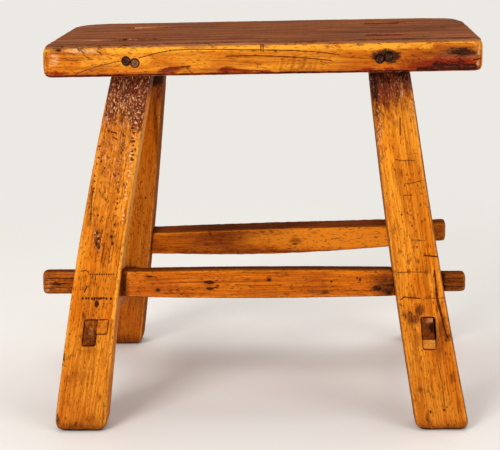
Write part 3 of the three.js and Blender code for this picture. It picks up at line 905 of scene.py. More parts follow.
SEAT_MARKS = [
    # dark knot, pale bruises, a painted highlight and nicks at the left end of the front
    Patch("grime", 0.041, 0.89, 11, 6, 0.56),
    Patch("cut", 0.041, 0.88, 6, 3, 0.6),
    # a pale bruise near the top, and lower down a pale patch that is a painted highlight
    *patches("bare", (0.090, 0.84, 40, 6, 0.60), (0.030, 0.60, 13, 16, 0.52)),
    Patch("rough", 0.095, 0.76, 50, 14, 0.5),
    Patch("shade", 0.004, 0.50, 7, 40, 0.6),
    *(Line("cut", points, 0.9, 0.6) for points in (
        [(0.083, 0.95), (0.089, 0.83)], [(0.089, 0.90), (0.099, 0.76)], [(0.097, 0.72), (0.108, 0.61)],
        [(0.106, 0.64), (0.118, 0.56)], [(0.128, 0.84), (0.140, 0.72)], [(0.150, 0.66), (0.162, 0.58)],
        [(0.060, 0.80), (0.078, 0.74)], [(0.052, 0.62), (0.064, 0.56)])),
    # long cracks that follow the grain
    *lines("cut", ([(0.082, 0.147), (0.127, 0.344), (0.164, 0.468), (0.184, 0.511)], 0.8, 0.62),
           ([(0.223, 0.596), (0.263, 0.735), (0.300, 0.82), (0.353, 0.842), (0.428, 0.809), (0.496, 0.784),
             (0.571, 0.75), (0.647, 0.66), (0.677, 0.584)], 0.8, 0.75),
           ([(0.421, 0.603), (0.496, 0.601), (0.534, 0.576), (0.609, 0.496), (0.659, 0.415)], 0.9, 0.7),
           ([(0.254, 0.604), (0.296, 0.358)], 0.7, 0.34),
           ([(0.304, 0.766), (0.335, 0.537), (0.376, 0.261)], 0.7, 0.34),
           ([(0.374, 0.497), (0.451, 0.416), (0.541, 0.395)], 0.7, 0.45),
           ([(0.700, 0.50), (0.735, 0.46), (0.752, 0.47)], 0.8, 0.5),
           ([(0.501, 1.0), (0.501, 0.75)], 0.9, 0.8), ([(0.506, 1.0), (0.506, 0.72)], 0.8, 0.65)),
    # dirt round the right pegs
    *patches("grime", (0.781, 0.52, 27, 13, 1.0), (0.764, 0.50, 9, 5, 0.9), (0.803, 0.52, 10, 4, 0.9)),
    # red stains along the lower edge
    *patches("red", (0.282, 0.17, 14, 7, 0.76), (0.302, 0.23, 16, 6, 0.78), (0.328, 0.29, 12, 3.6, 0.70),
             (0.290, 0.11, 22, 6, 0.72), (0.420, 0.16, 18, 7, 0.86), (0.030, 0.13, 26, 6, 0.78),
             (0.741, 0.10, 15, 5, 0.95), (0.788, 0.11, 13, 4, 0.85)),
    *lines("cut", ([(0.268, 0.14), (0.290, 0.27), (0.340, 0.31)], 1.0, 0.5),
           ([(0.330, 0.28), (0.344, 0.08)], 0.8, 0.6),
           ([(0.410, 0.21), (0.440, 0.18), (0.500, 0.13)], 0.9, 0.5)),
    Line("red", [(0.405, 0.10), (0.428, 0.19), (0.470, 0.10), (0.520, 0.08)], 4.0, 0.72),
    Patch("grime", 0.741, 0.08, 11, 3.4, 0.62),
    # rubbed ribs in the middle
    *(Line("shade", [(across, high), (across - 0.004, 0.30), (across - 0.008, low)], wide, level)
      for across, high, low, wide, level in (
          (0.540, 0.40, 0.20, 1.8, 0.26), (0.551, 0.52, 0.14, 2.6, 0.40), (0.563, 0.44, 0.24, 1.8, 0.30),
          (0.576, 0.56, 0.12, 3.2, 0.46), (0.592, 0.42, 0.16, 2.0, 0.28), (0.601, 0.54, 0.18, 2.8, 0.42),
          (0.616, 0.40, 0.22, 2.2, 0.26), (0.628, 0.48, 0.14, 2.4, 0.34), (0.645, 0.36, 0.20, 2.0, 0.22))),
    # scratched red and black dirt at the right end
    *patches("red", (0.912, 0.20, 84, 14, 1.0), (0.965, 0.28, 30, 9, 0.8)),
    *patches("grime", (0.925, 0.21, 54, 13, 0.52), (0.955, 0.61, 34, 9, 0.68), (0.936, 0.65, 16, 6, 0.52),
             (0.920, 0.35, 24, 6, 0.48)),
    *patches("shade", (0.925, 0.50, 62, 18, 0.66), (0.93, 0.70, 70, 16, 0.4)),
    Patch("handled", 0.945, 0.50, 44, 18, 0.62),
    Patch("rough", 0.930, 0.40, 66, 26, 0.28),
    *lines("grime", ([(0.855, 0.10), (0.885, 0.13), (0.930, 0.10), (0.985, 0.12)], 4.0, 0.70),
           ([(0.890, 0.25), (0.920, 0.22), (0.950, 0.17), (0.985, 0.20)], 3.8, 0.66)),
    # pale strips on the rounded right end: a painted highlight
    *patches("bare", (0.990, 0.66, 4, 10, 0.58), (0.988, 0.26, 4, 8, 0.55)),
    Line("cut", [(0.978, 0.37), (1.0, 0.38)], 1.0, 0.9),
    *(Line("red", [(left, high), (left + 0.014, 0.10)], 3.0, 0.62)
      for left, high in ((0.815, 0.44), (0.833, 0.36), (0.856, 0.41))),
    *(Line("shade", [(across, high), (across + 0.002, low)], 2.0, 0.62)
      for across, high, low in (
          (0.884, 0.70, 0.46), (0.895, 0.78, 0.40), (0.904, 0.74, 0.44), (0.914, 0.80, 0.38),
          (0.924, 0.76, 0.42), (0.935, 0.78, 0.50), (0.946, 0.74, 0.52))),
    # dark lower edge; a painted highlight along the top of the front, and polished lighter wood at the left
    Line("red", [(0.01, 0.05), (0.50, 0.045), (0.99, 0.05)], 3.4, 0.86),
    Line("grime", [(0.01, 0.03), (0.99, 0.03)], 2.4, 0.66),
    *lines("arris", ([(0.16, 0.88), (0.40, 0.92), (0.62, 0.90), (0.80, 0.87)], 9, 0.95),
           ([(0.80, 0.87), (0.88, 0.85)], 8, 0.6), ([(0.10, 0.50), (0.24, 0.56)], 12, 0.5)),
    # top: dark front margin, long streaks, a few dark holes and painted highlights near the front left tenon
    *lines("grime", ([(0.03, 0.04), (0.20, 0.03), (0.45, 0.05), (0.62, 0.03)], 14, 0.43),
           ([(0.60, 0.04), (0.74, 0.06), (0.97, 0.05)], 13, 0.48),
           ([(0.05, 0.62), (0.14, 0.58), (0.26, 0.62)], 9, 0.36),
           ([(0.58, 0.30), (0.70, 0.36), (0.84, 0.32)], 12, 0.38), face="top"),
    *lines("cut", ([(0.31, 0.30), (0.42, 0.33), (0.55, 0.31)], 1.6, 0.5),
           ([(0.40, 0.62), (0.55, 0.66), (0.72, 0.64)], 1.6, 0.35),
           ([(0.18, 0.50), (0.34, 0.46), (0.50, 0.49)], 1.6, 0.3),
           ([(0.62, 0.80), (0.78, 0.84), (0.95, 0.80)], 1.6, 0.35),
           ([(0.750, 0.80), (0.800, 0.79), (0.850, 0.81)], 1.8, 0.6), face="top"),
    Line("red", [(0.745, 0.235), (0.790, 0.225), (0.850, 0.24)], 2.6, 0.8, "top"),
    # painted highlights near the front left tenon
    *patches("bare", (0.095, 0.21, 34, 8, 0.44), (0.20, 0.16, 60, 12, 0.22), face="top"),
    *dots([(0.866, 0.47), (0.935, 0.55), (0.510, 0.12)], 4.0, face="top"),
]
SEAT_CORNERS = [
    Corner((0.0, 0.0, 1.0), 19, 0.8), Corner((1.0, 0.0, 1.0), 16, 0.8), Corner((0.0, 0.0, 0.0), 12, 0.7),
    Corner((1.0, 0.0, 0.0), 12, 0.7), Corner((1.0, 1.0, 0.5), 46, 1.0), Corner((0.0, 1.0, 0.7), 34, 0.8),
]


# How deep from the front the seat's grid is finer, and how far its edges' dirt and nicks reach
FINE_FRONT = 7 * MM
EDGE = 3 * MM
UNDER_EDGE = 2 * MM


class StoolSeat(bpy.types.Operator):
    """Carves the worn seat plank with its four mortises"""
    bl_idname = "stool.seat"
    bl_label = "Seat plank"

    def execute(self, context):
        wear = context.scene.stool_wear
        piece = copy_of_node("seat_plank", "seat_plank_worn")
        remesh(piece, wear.seat_grid)
        middles = read_vectors(piece.data.polygons, "center")
        split_faces(piece, middles[:, 1] < SEAT_LOW.y + FINE_FRONT)
        surface = WornSurface(piece, "seat_plank", SEAT_MARKS)
        surface.wear_corners(SEAT_CORNERS)
        # the top browned as rubbed, dusty wood, its greyed tone also a painted sheen
        surface.add("handled", surface.facing("top"))
        surface.add("handled", surface.facing("under") * 0.8)
        at_front = surface.place[:, 1] < SEAT_LOW.y + EDGE
        front_top = at_front & (surface.place[:, 2] > SEAT_HIGH.z - EDGE)
        surface.scatter("grime", 120, 1.4, 3.2, 0.62, seed=11, stretch=(1.6, 1, 1), where=front_top)
        surface.scatter("handled", 110, 2.5, 7.0, 0.8, seed=15, stretch=(2.2, 1, 1), where=front_top)
        surface.scatter("bare", 14, 2, 4, 0.5, seed=12, stretch=(2, 1, 1), where=front_top)
        surface.scatter("cut", 150, 1.2, 3.0, 0.6, seed=13, stretch=(2.4, 1, 1))
        surface.scatter("red", 40, 6, 20, 0.4, seed=14, stretch=(3, 1, 1),
                        where=surface.facing("front") > 0.5)
        front_under = at_front & (surface.place[:, 2] < SEAT_LOW.z + UNDER_EDGE)
        surface.masks["arris"][front_under] = 0
        surface.scatter("grime", 90, 1.6, 4.0, 0.85, seed=16, stretch=(2.2, 1, 1), where=front_under)
        centre = (SEAT_LOW + SEAT_HIGH) / 2
        turn = grain_axes((1, 0, 0))
        carve(piece, surface, turn, centre)
        finish_piece(piece, surface, "seat_wood", ["seat_plank"], turn, centre, (3.1, 0.045, 0.06))
        return {"FINISHED"}


LEG_MARKS = {
    "front_left": [
        # crumbled dark varnish under the seat
        *patches("red", (0.50, 0.93, 70, 88, 1.0), (0.20, 0.84, 26, 40, 0.7), (0.82, 0.83, 24, 50, 0.9),
                 (0.35, 0.80, 12, 16, 0.5)),
        *patches("rough", (0.50, 0.90, 80, 110, 1.0), (0.44, 0.74, 50, 124, 0.62),
                 (0.44, 0.56, 44, 76, 0.40)),
        # a bright strip down the right edge of the front, polished and brightened as painted light, and
        # painted light over the inner side face, which the lamps light brightly
        Line("arris", [(0.97, 0.80), (0.96, 0.30)], 6, 1.0),
        Patch("arris", 0.50, 0.60, 150, 210, 0.52, "right"),
        *patches("grime", (0.70, 0.87, 12, 24, 0.30), (0.20, 0.93, 10, 24, 0.30), (0.50, 0.952, 60, 6, 0.6)),
        # pale strokes: chips, which also serve as painted glints in a strip at the right and as a painted
        # highlight down the left edge
        *ticks("bare", (0.78, 0.860), (0.86, 0.745), 13, (1.4, 3.4), 0.85, seed=1),
        *ticks("bare", (0.80, 0.760), (0.85, 0.660), 15, (1.8, 4.4), 1.0, seed=2),
        *ticks("bare", (0.85, 0.660), (0.85, 0.540), 14, (1.6, 3.2), 0.9, seed=3),
        *ticks("bare", (0.10, 0.870), (0.10, 0.700), 12, (1.2, 2.8), 0.6, seed=4),
        *ticks("cut", (0.76, 0.800), (0.84, 0.700), 10, (2.0, 4.5), 0.95, seed=5),
        *ticks("cut", (0.55, 0.790), (0.62, 0.690), 8, (1.4, 3.0), 0.6, seed=6),
        *ticks("cut", (0.36, 0.700), (0.42, 0.560), 8, (1.2, 2.6), 0.55, seed=7),
        *ticks("cut", (0.10, 0.740), (0.14, 0.560), 12, (1.2, 2.8), 0.7, seed=8),
        *ticks("cut", (0.66, 0.680), (0.72, 0.500), 10, (1.2, 2.6), 0.6, seed=9),
        # nicks
        *lines("cut", ([(0.30, 0.772), (0.42, 0.768)], 1.2, 0.8), ([(0.36, 0.758), (0.46, 0.752)], 1.0, 0.7),
               ([(0.13, 0.62), (0.16, 0.58), (0.19, 0.55)], 1.3, 0.55)),
        *dots([(0.59, 0.761), (0.62, 0.725), (0.24, 0.774), (0.80, 0.747), (0.08, 0.735), (0.20, 0.697),
               (0.84, 0.704), (0.30, 0.68), (0.55, 0.66), (0.14, 0.62), (0.44, 0.60), (0.70, 0.59),
               (0.33, 0.56)], 2.0, 0.7),
        # dark streaks and pits above the front rail
        Patch("rough", 0.40, 0.497, 9, 26, 1.0),
        *patches("handled", (0.40, 0.497, 7, 24, 0.62), (0.71, 0.502, 6, 20, 0.55)),
        *(Line("cut", [(across, high), (across - 0.015, low)], wide, level)
          for across, high, low, wide, level in (
              (0.47, 0.520, 0.478, 1.3, 0.50), (0.56, 0.490, 0.440, 1.9, 0.46),
              (0.62, 0.465, 0.432, 1.0, 0.50), (0.70, 0.505, 0.450, 1.0, 0.50),
              (0.76, 0.480, 0.440, 0.9, 0.46), (0.82, 0.515, 0.470, 0.9, 0.40))),
        *dots([(0.37, 0.515), (0.42, 0.500), (0.39, 0.487), (0.45, 0.478), (0.68, 0.505), (0.72, 0.488)],
              2.8, 0.8),
        # dotted scribe lines
        *lines("cut", ([(0.16, 0.418), (0.27, 0.420), (0.33, 0.412)], 0.9, 0.6),
               ([(0.18, 0.405), (0.19, 0.374)], 0.8, 0.5), ([(0.32, 0.379), (0.29, 0.364)], 1.1, 0.85),
               ([(0.60, 0.283), (0.82, 0.279)], 1.0, 0.75), ([(0.82, 0.279), (0.81, 0.262)], 1.0, 0.7)),
        Patch("grime", 0.57, 0.334, 5, 7, 0.9),
        Patch("handled", 0.58, 0.212, 20, 6, 0.45),
        *dots([(0.36 + 0.047 * step, 0.409) for step in range(11)], 1.5, 0.75),
        *dots([(0.27, 0.348), (0.34, 0.348), (0.39, 0.348), (0.46, 0.347), (0.51, 0.348), (0.56, 0.348),
               (0.60, 0.347), (0.64, 0.348), (0.69, 0.348), (0.75, 0.347), (0.84, 0.347)], 2.2, 0.85),
        *dots([(0.71, 0.334), (0.78, 0.333), (0.84, 0.335)], 1.5, 0.55),
        # smudges and the worn foot
        *patches("handled", (0.42, 0.148, 24, 12, 0.42), (0.68, 0.034, 18, 14, 0.62),
                 (0.50, 0.008, 60, 18, 0.80)),
        *patches("grime", (0.035, 0.20, 3, 12, 0.7), (0.05, 0.035, 5, 18, 0.6)),
        # the tenon that shows in the seat, with painted highlights on its end
        *patches("bare", (0.60, 0.88, 16, 12, 0.72), (0.78, 0.88, 12, 12, 0.42), face="top"),
        Patch("grime", 0.70, 0.88, 9, 14, 0.62, "top"),
    ],
    "front_right": [
        Patch("red", 0.50, 0.50, 300, 300, 0.8, "top"),
        *patches("red", (0.34, 0.92, 56, 80, 1.0), (0.80, 0.935, 34, 74, 0.95)),
        # under the seat: crumbled varnish and dirt; the pale strokes and the glints down both margins are
        # painted glints, and the dark strip down the left margin is painted shade beside the shaded inner
        # side
        *patches("rough", (0.45, 0.90, 70, 70, 0.55), (0.10, 0.75, 7, 84, 0.9), (0.90, 0.82, 8, 30, 0.7)),
        *patches("grime", (0.05, 0.91, 15, 78, 1.0), (0.42, 0.92, 40, 44, 0.56), (0.88, 0.945, 16, 44, 0.95),
                 (0.50, 0.935, 60, 12, 0.95)),
        *patches("bare", (0.72, 0.862, 4, 22, 0.42), (0.20, 0.89, 3, 18, 0.30)),
        Patch("handled", 0.04, 0.76, 6, 84, 0.6),
        # fine cracks along and across the grain
        *lines("cut", ([(0.60, 0.797), (0.56, 0.753)], 1.0, 0.85),
               ([(0.39, 0.692), (0.52, 0.689), (0.66, 0.690), (0.79, 0.689)], 0.8, 0.62),
               ([(0.68, 0.704), (0.88, 0.707)], 0.7, 0.5),
               ([(0.50, 0.630), (0.70, 0.633), (0.88, 0.638)], 0.8, 0.6),
               ([(0.46, 0.602), (0.62, 0.602)], 0.9, 0.6), ([(0.44, 0.558), (0.61, 0.548)], 0.8, 0.5),
               ([(0.52, 0.489), (0.77, 0.487)], 0.8, 0.55), ([(0.70, 0.450), (0.95, 0.446)], 1.1, 0.8),
               ([(0.10, 0.407), (0.40, 0.408), (0.67, 0.407)], 0.8, 0.6),
               ([(0.10, 0.338), (0.18, 0.345), (0.26, 0.343), (0.48, 0.341)], 1.0, 0.8),
               ([(0.58, 0.341), (0.76, 0.341), (0.96, 0.341)], 0.7, 0.5),
               ([(0.852, 0.4115), (0.835, 0.376), (0.812, 0.341), (0.837, 0.301), (0.852, 0.266),
                 (0.879, 0.239)], 1.2, 1.0), ([(0.828, 0.365), (0.812, 0.341), (0.840, 0.296)], 2.0, 1.0),
               ([(0.606, 0.186), (0.636, 0.125), (0.60, 0.054)], 0.8, 0.55),
               ([(0.30, 0.21), (0.28, 0.06)], 0.7, 0.35)),
        *dots([(0.61, 0.602), (0.36, 0.553), (0.59, 0.543), (0.58, 0.471), (0.54, 0.525)], 2.0, 0.6),
        # stains round the side rail's tenon and brown spots
        *patches("grime", (0.88, 0.240, 9, 12, 0.45), (0.43, 0.315, 5, 6, 0.45), (0.27, 0.286, 6, 5, 0.4),
                 (0.34, 0.300, 18, 13, 0.42)),
        *patches("handled", (0.86, 0.25, 12, 18, 0.5), (0.44, 0.312, 9, 10, 1.0),
                 (0.29, 0.288, 13, 10, 0.95), (0.80, 0.262, 10, 26, 0.8), (0.30, 0.235, 10, 20, 0.5),
                 (0.24, 0.296, 22, 12, 0.62), (0.72, 0.235, 14, 40, 0.6), (0.19, 0.108, 7, 6, 0.8),
                 (0.42, 0.090, 4, 4, 0.7), (0.25, 0.038, 4, 12, 0.7), (0.84, 0.138, 5, 12, 0.7),
                 (0.86, 0.070, 5, 14, 0.6), (0.50, 0.006, 60, 8, 0.5)),
        Patch("rough", 0.42, 0.29, 34, 30, 0.4),
        *dots([(0.35, 0.435), (0.34, 0.410), (0.69, 0.407), (0.22, 0.46), (0.55, 0.435)], 4.2, 0.7,
              "handled"),
    ],
    "back_left": [
        # black just under the seat: painted shade of the seat over old dark varnish
        Line("grime", [(0.0, 0.885), (1.0, 0.885)], 36, 1.0),
        Patch("bare", 0.66, 0.13, 40, 14, 0.9, "top"),
        *patches("red", (0.86, 0.84, 10, 50, 0.6), (0.50, 0.72, 60, 160, 0.14)),
        *patches("handled", (0.98, 0.62, 5, 200, 0.8), (0.60, 0.48, 14, 24, 0.4), (0.50, 0.01, 60, 22, 0.8)),
        Line("cut", [(0.20, 0.50), (0.22, 0.46)], 1.4, 0.8),
    ],
    "back_right": [
        Patch("red", 0.50, 0.50, 300, 300, 0.8, "top"),
        # black just under the seat: painted shade of the seat over old dark varnish
        Patch("grime", 0.50, 0.90, 60, 70, 0.9),
        Patch("handled", 0.30, 0.45, 20, 60, 0.6, "back"),
    ],
}
LEG_CORNERS = {
    "front_left": [Corner((0.0, 0.0, 0.0), 18, 1.0), Corner((0.48, 0.0, 0.0), 9, 0.6)],
    "front_right": [Corner((1.0, 0.0, 0.0), 12, 0.6), Corner((0.48, 0.0, 0.0), 9, 0.5)],
    "back_left": [Corner((0.0, 1.0, 0.0), 14, 0.8)],
    "back_right": [Corner((1.0, 1.0, 0.0), 14, 0.8)],
}


# Height at which the old varnish under the seat begins, and the height over which it comes in
CRUST_START = 318 * MM
CRUST_FADE = 34 * MM
# Heights up to which a foot is worn and dirty
FOOT_WORN = 15 * MM
FOOT_DIRTY = 4.5 * MM
# A leg's grain runs between the middles of slices as thick as this at its two ends
END_SLICE = 12 * MM
# How brown the sides are, as rubbed wood and as painted shade where the lamps reach less (little on the front
# left leg's lit inner side), and how dark each whole leg is, the back legs under the seat as painted shade
SIDE_RUB_AND_SHADE = {"front_left": 0.2, "front_right": 0.62, "back_left": 0.62, "back_right": 0.62}
LEG_SHADE = {"front_left": 0.03, "front_right": 0.08, "back_left": 0.56, "back_right": 0.56}


class StoolLegs(bpy.types.Operator):
    """Carves the four splayed legs with their tenons and worn feet"""
    bl_idname = "stool.legs"
    bl_label = "Legs"

    def execute(self, context):
        for seed, corner in enumerate(CORNERS):
            self.carve_leg(context.scene.stool_wear, corner, seed)
        return {"FINISHED"}

    @staticmethod
    def carve_leg(wear, corner, seed):
        """Carves one leg, with its own marks and its own run of the grain."""
        node = f"leg_{corner}"
        piece = copy_of_node(node, f"{node}_worn")
        remesh(piece, wear.leg_grid)
        surface = WornSurface(piece, node, LEG_MARKS[corner], tapered=True, polish=0.5)
        surface.wear_corners(LEG_CORNERS[corner])
        outer = "front" if corner.startswith("front") else "back"
        height = surface.place[:, 2]
        under_seat = np.clip((height - CRUST_START) / CRUST_FADE, 0, 1)
        for face in ("back", "left", "right"):
            surface.add("red", under_seat * surface.facing(face) * 0.9)
            surface.add("grime", under_seat * surface.facing(face) * 0.5)
            surface.add("rough", under_seat * surface.facing(face) * 0.7)
        surface.add("handled", surface.facing("top"))
        surface.add("rough", surface.facing(outer) * 0.12)
        # the sides browned as rubbed wood and as painted shade
        sides = np.maximum(surface.facing("left"), surface.facing("right"))
        surface.add("handled", sides * SIDE_RUB_AND_SHADE[corner])
        # painted shade darkens the back legs all over, under the seat; every leg gets darker towards the
        # floor
        surface.add("shade", np.full(len(height), LEG_SHADE[corner]))
        surface.add("shade", np.clip(0.36 - height * 1.3, 0, 1))
        surface.add("handled", np.clip(1.15 - height / FOOT_WORN, 0, 1) * 0.8)
        surface.add("grime", np.clip(1.2 - height / FOOT_DIRTY, 0, 1) * 0.85)
        surface.scatter("cut", 150, 1.2, 3.4, 0.7, seed=seed * 10 + 21, stretch=(1, 1, 1.8))
        surface.scatter("cut", 46, 1.3, 1.9, 0.62, seed=seed * 10 + 24, stretch=(1, 1, 9))
        surface.scatter("handled", 110, 3, 9, 0.62, seed=seed * 10 + 22, stretch=(1, 1, 1.8))
        surface.scatter("handled", 80, 1.8, 3.6, 0.7, seed=seed * 10 + 25, stretch=(1, 1, 8))
        surface.scatter("grime", 26, 1.8, 4, 0.6, seed=seed * 10 + 23, stretch=(1, 1, 1.6))
        foot = surface.place[height < END_SLICE].mean(0)
        head = surface.place[height > surface.high[2] - END_SLICE].mean(0)
        turn = grain_axes(head - foot)
        carve(piece, surface, turn, Vector(foot))
        finish_piece(piece, surface, "leg_wood", [node], turn, Vector(foot),
                     (seed * 1.7, 0.05, 0.04 + seed * 0.02))


LONG_RAIL_MARKS = {
    "front": [
        *patches("handled", (0.195, 0.50, 9, 40, 1.0), (0.055, 0.50, 44, 34, 0.5),
                 (0.965, 0.50, 44, 34, 0.7), (0.815, 0.45, 26, 30, 0.80), (0.671, 0.25, 8, 4, 0.8)),
        *patches("grime", (0.195, 0.50, 5, 34, 0.42), (0.035, 0.62, 14, 10, 0.5), (0.945, 0.50, 8, 32, 0.7),
                 (0.820, 0.30, 14, 16, 0.55), (0.793, 0.36, 12, 5, 0.8), (0.2775, 0.37, 6, 4, 0.75),
                 (0.400, 0.60, 11, 4, 0.8), (0.540, 0.70, 6, 6, 0.75), (0.486, 0.68, 9, 3, 0.55)),
        Patch("bare", 0.012, 0.50, 6, 24, 0.42),
        Patch("rough", 0.810, 0.45, 34, 30, 0.45),
        *patches("cut", (0.258, 0.80, 8, 2, 0.6), (0.400, 0.40, 8, 3, 0.8)),
        *lines("cut", ([(0.46, 0.52), (0.51, 0.49), (0.57, 0.50)], 0.8, 0.5),
               ([(0.63, 0.30), (0.70, 0.33), (0.78, 0.28)], 0.8, 0.5),
               ([(0.28, 0.28), (0.34, 0.24), (0.40, 0.26)], 0.8, 0.4)),
        *dots([(0.686, 0.59), (0.746, 0.70), (0.753, 0.64)], 2.6, 0.8, "grime"),
        *(Line("cut", [(0.005, up), (0.04, up + 0.02), (0.09, up)], 0.8, 0.6)
          for up in (0.25, 0.42, 0.55, 0.72)),
        *(Line("cut", [(0.945, up), (0.97, up + 0.015), (0.995, up)], 0.8, 0.6)
          for up in (0.22, 0.36, 0.50, 0.62, 0.76)),
    ],
    "back": [
        *patches("handled", (0.035, 0.5, 40, 36, 0.7), (0.965, 0.5, 40, 36, 0.7), (0.385, 0.55, 60, 20, 0.5),
                 (0.585, 0.45, 16, 9, 0.62)),
        Patch("red", 0.370, 0.50, 60, 20, 0.35),
        Patch("grime", 0.345, 0.72, 5, 4, 0.7),
        Patch("cut", 0.580, 0.34, 7, 2, 0.6),
        Line("red", [(0.25, 0.10), (0.50, 0.10), (0.70, 0.09), (0.85, 0.12)], 3, 0.6),
        # a painted pool of light on the right of the face, and painted shade on the left under the seat
        Patch("arris", 0.72, 0.52, 220, 26, 1.0),
        Patch("shade", 0.30, 0.50, 160, 40, 0.20),
    ],
}


class StoolLongRails(bpy.types.Operator):
    """Carves the two long rails whose tenons pass through the legs"""
    bl_idname = "stool.long_rails"
    bl_label = "Long rails"

    def execute(self, context):
        for seed, depth in enumerate(("front", "back")):
            node = f"stretcher_{depth}"
            carve_rail(context.scene.stool_wear, node, (1, 0, 0), LONG_RAIL_MARKS[depth], seed + 61)
        return {"FINISHED"}


SHORT_RAIL_MARKS = {
    # the two front tenons' end grain
    "left": [
        Patch("bare", 0.42, 0.66, 6, 12, 0.40),
        Patch("handled", 0.50, 0.50, 40, 40, 0.8),
        *patches("grime", (0.50, 0.50, 20, 30, 0.42), (0.85, 0.40, 4, 22, 0.45), (0.50, 0.12, 14, 5, 0.5)),
    ],
    "right": [
        *patches("bare", (0.42, 0.88, 12, 7, 0.46), (0.08, 0.45, 2.5, 24, 0.5)),
        *patches("grime", (0.55, 0.60, 9, 10, 0.85), (0.80, 0.66, 5, 10, 0.5)),
        Patch("handled", 0.50, 0.50, 40, 40, 0.9),
    ],
}


class StoolShortRails(bpy.types.Operator):
    """Carves the two short rails between the front and back legs"""
    bl_idname = "stool.short_rails"
    bl_label = "Short rails"

    def execute(self, context):
        for seed, side in enumerate(("left", "right")):
            node = f"stretcher_{side}"
            carve_rail(context.scene.stool_wear, node, (0, 1, 0), SHORT_RAIL_MARKS[side], seed + 71)
        return {"FINISHED"}


# How far from its ends a rail is browned by hands, and over how much more that fades
TENON = 20 * MM
TENON_FADE = 6 * MM


def carve_rail(wear, node, direction, marks, seed):
    """Carves one rail along its own grain."""
    piece = copy_of_node(node, f"{node}_worn")
    remesh(piece, wear.rail_grid)
    surface = WornSurface(piece, node, marks, fills=True, polish=0.55)
    surface.add("handled", surface.facing("top") * 0.85)
    surface.add("handled", surface.facing("under") * 0.7)
    surface.add("rough", np.full(len(surface.place), 0.16))
    axis = np.array(direction, float)
    from_middle = np.abs((surface.place - (surface.low + surface.high) / 2) @ axis)
    tenon = from_middle - (surface.high - surface.low) @ axis / 2 + TENON
    surface.add("handled", np.clip(tenon / TENON_FADE, 0, 1) * 0.58)
    drawn = tuple(1 + 1.4 * abs(step) for step in direction)
    surface.scatter("cut", 120, 1.4, 3.0, 0.6, seed=seed * 10, stretch=drawn)
    surface.scatter("handled", 40, 4, 12, 0.5, seed=seed * 10 + 1, stretch=drawn)
    surface.scatter("grime", 20, 2, 5, 0.6, seed=seed * 10 + 2, stretch=drawn)
    turn = grain_axes(direction)
    low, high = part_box(node)
    centre = (low + high) / 2
    carve(piece, surface, turn, centre)
    finish_piece(piece, surface, "rail_wood", [node], turn, centre, (seed * 1.3, 0.04, 0.05))


# How worn the ends of the wedges and slips are
WEDGE_WEAR = {"handled": 0.7}
SLIP_WEAR = {
    "left": {"handled": 0.22, "shade": 0.1},
    "right": {"bare": 0.46, "grime": 0.34, "rough": 0.4},
}
# The share of the allowance by which a wedge is let out into its hole
WEDGE_FIT = 0.6


class StoolWedges(bpy.types.Operator):
    """Carves the wedges beside the leg tenons and the slips beside the rail tenons"""
    bl_idname = "stool.wedges"
    bl_label = "Wedges and slips"

    def execute(self, context):
        for seed, corner in enumerate(CORNERS):
            self.carve_wedge(f"seat_wedge_{corner}", (0, 0, 1), WEDGE_WEAR, seed)
            self.carve_wedge(f"rail_wedge_{corner}", (0, 1, 0), SLIP_WEAR[corner.split("_")[1]], seed + 4)
        return {"FINISHED"}

    @staticmethod
    def carve_wedge(node, direction, levels, seed):
        """Carves one wedge, whose end shows these levels of wear."""
        wear = bpy.context.scene.stool_wear
        piece = copy_of_node(node, f"{node}_worn")
        remesh(piece, wear.small_grid)
        surface = WornSurface(piece, node)
        for mask, level in levels.items():
            surface.add(mask, np.full(len(surface.place), level))
        surface.scatter("cut", 12, 1, 2.2, 0.6, seed=seed * 10 + 81)
        surface.scatter("grime", 5, 1.5, 3, 0.6, seed=seed * 10 + 82)
        low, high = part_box(node)
        alone(piece)
        apply_modifier(piece, "DISPLACE", strength=wear.allowance * WEDGE_FIT, mid_level=0)
        carve_lightly(piece, surface)
        finish_piece(piece, surface, "wedge_wood", [node], grain_axes(direction), (low + high) / 2,
                     (seed * 0.9, 0.03, 0.02))


def carve_lightly(piece, surface):
    """Roughens a small piece with its pits and a little wear."""
    wear = bpy.context.scene.stool_wear
    alone(piece)
    weigh(piece, "cut", surface.masks["cut"])
    apply_modifier(piece, "DISPLACE", texture=cloud("Small Dents", wear.dent_size / 2),
                   texture_coords="LOCAL", strength=wear.dent_depth, mid_level=CLOUD_TOP)
    apply_modifier(piece, "DISPLACE", vertex_group="cut", strength=-wear.cut_depth / 2, mid_level=0)
    bpy.ops.object.vertex_group_remove(all=True)


PEG_SIDES = 28
# Widths of the rings inset into a peg's end
PEG_RINGS = (0.6 * MM, 1.2 * MM)
PEG_GRID = 0.45 * MM
# How dirty the pegs' ends are: those at the right, and the outer and inner one at the left
PEG_DIRT = {"right": 0.70, "outer": 0.62, "inner": 0.2}
# Where the dirt stays under this level, the peg's end shows its pale wood by what is left of it
PEG_PALE = 0.56


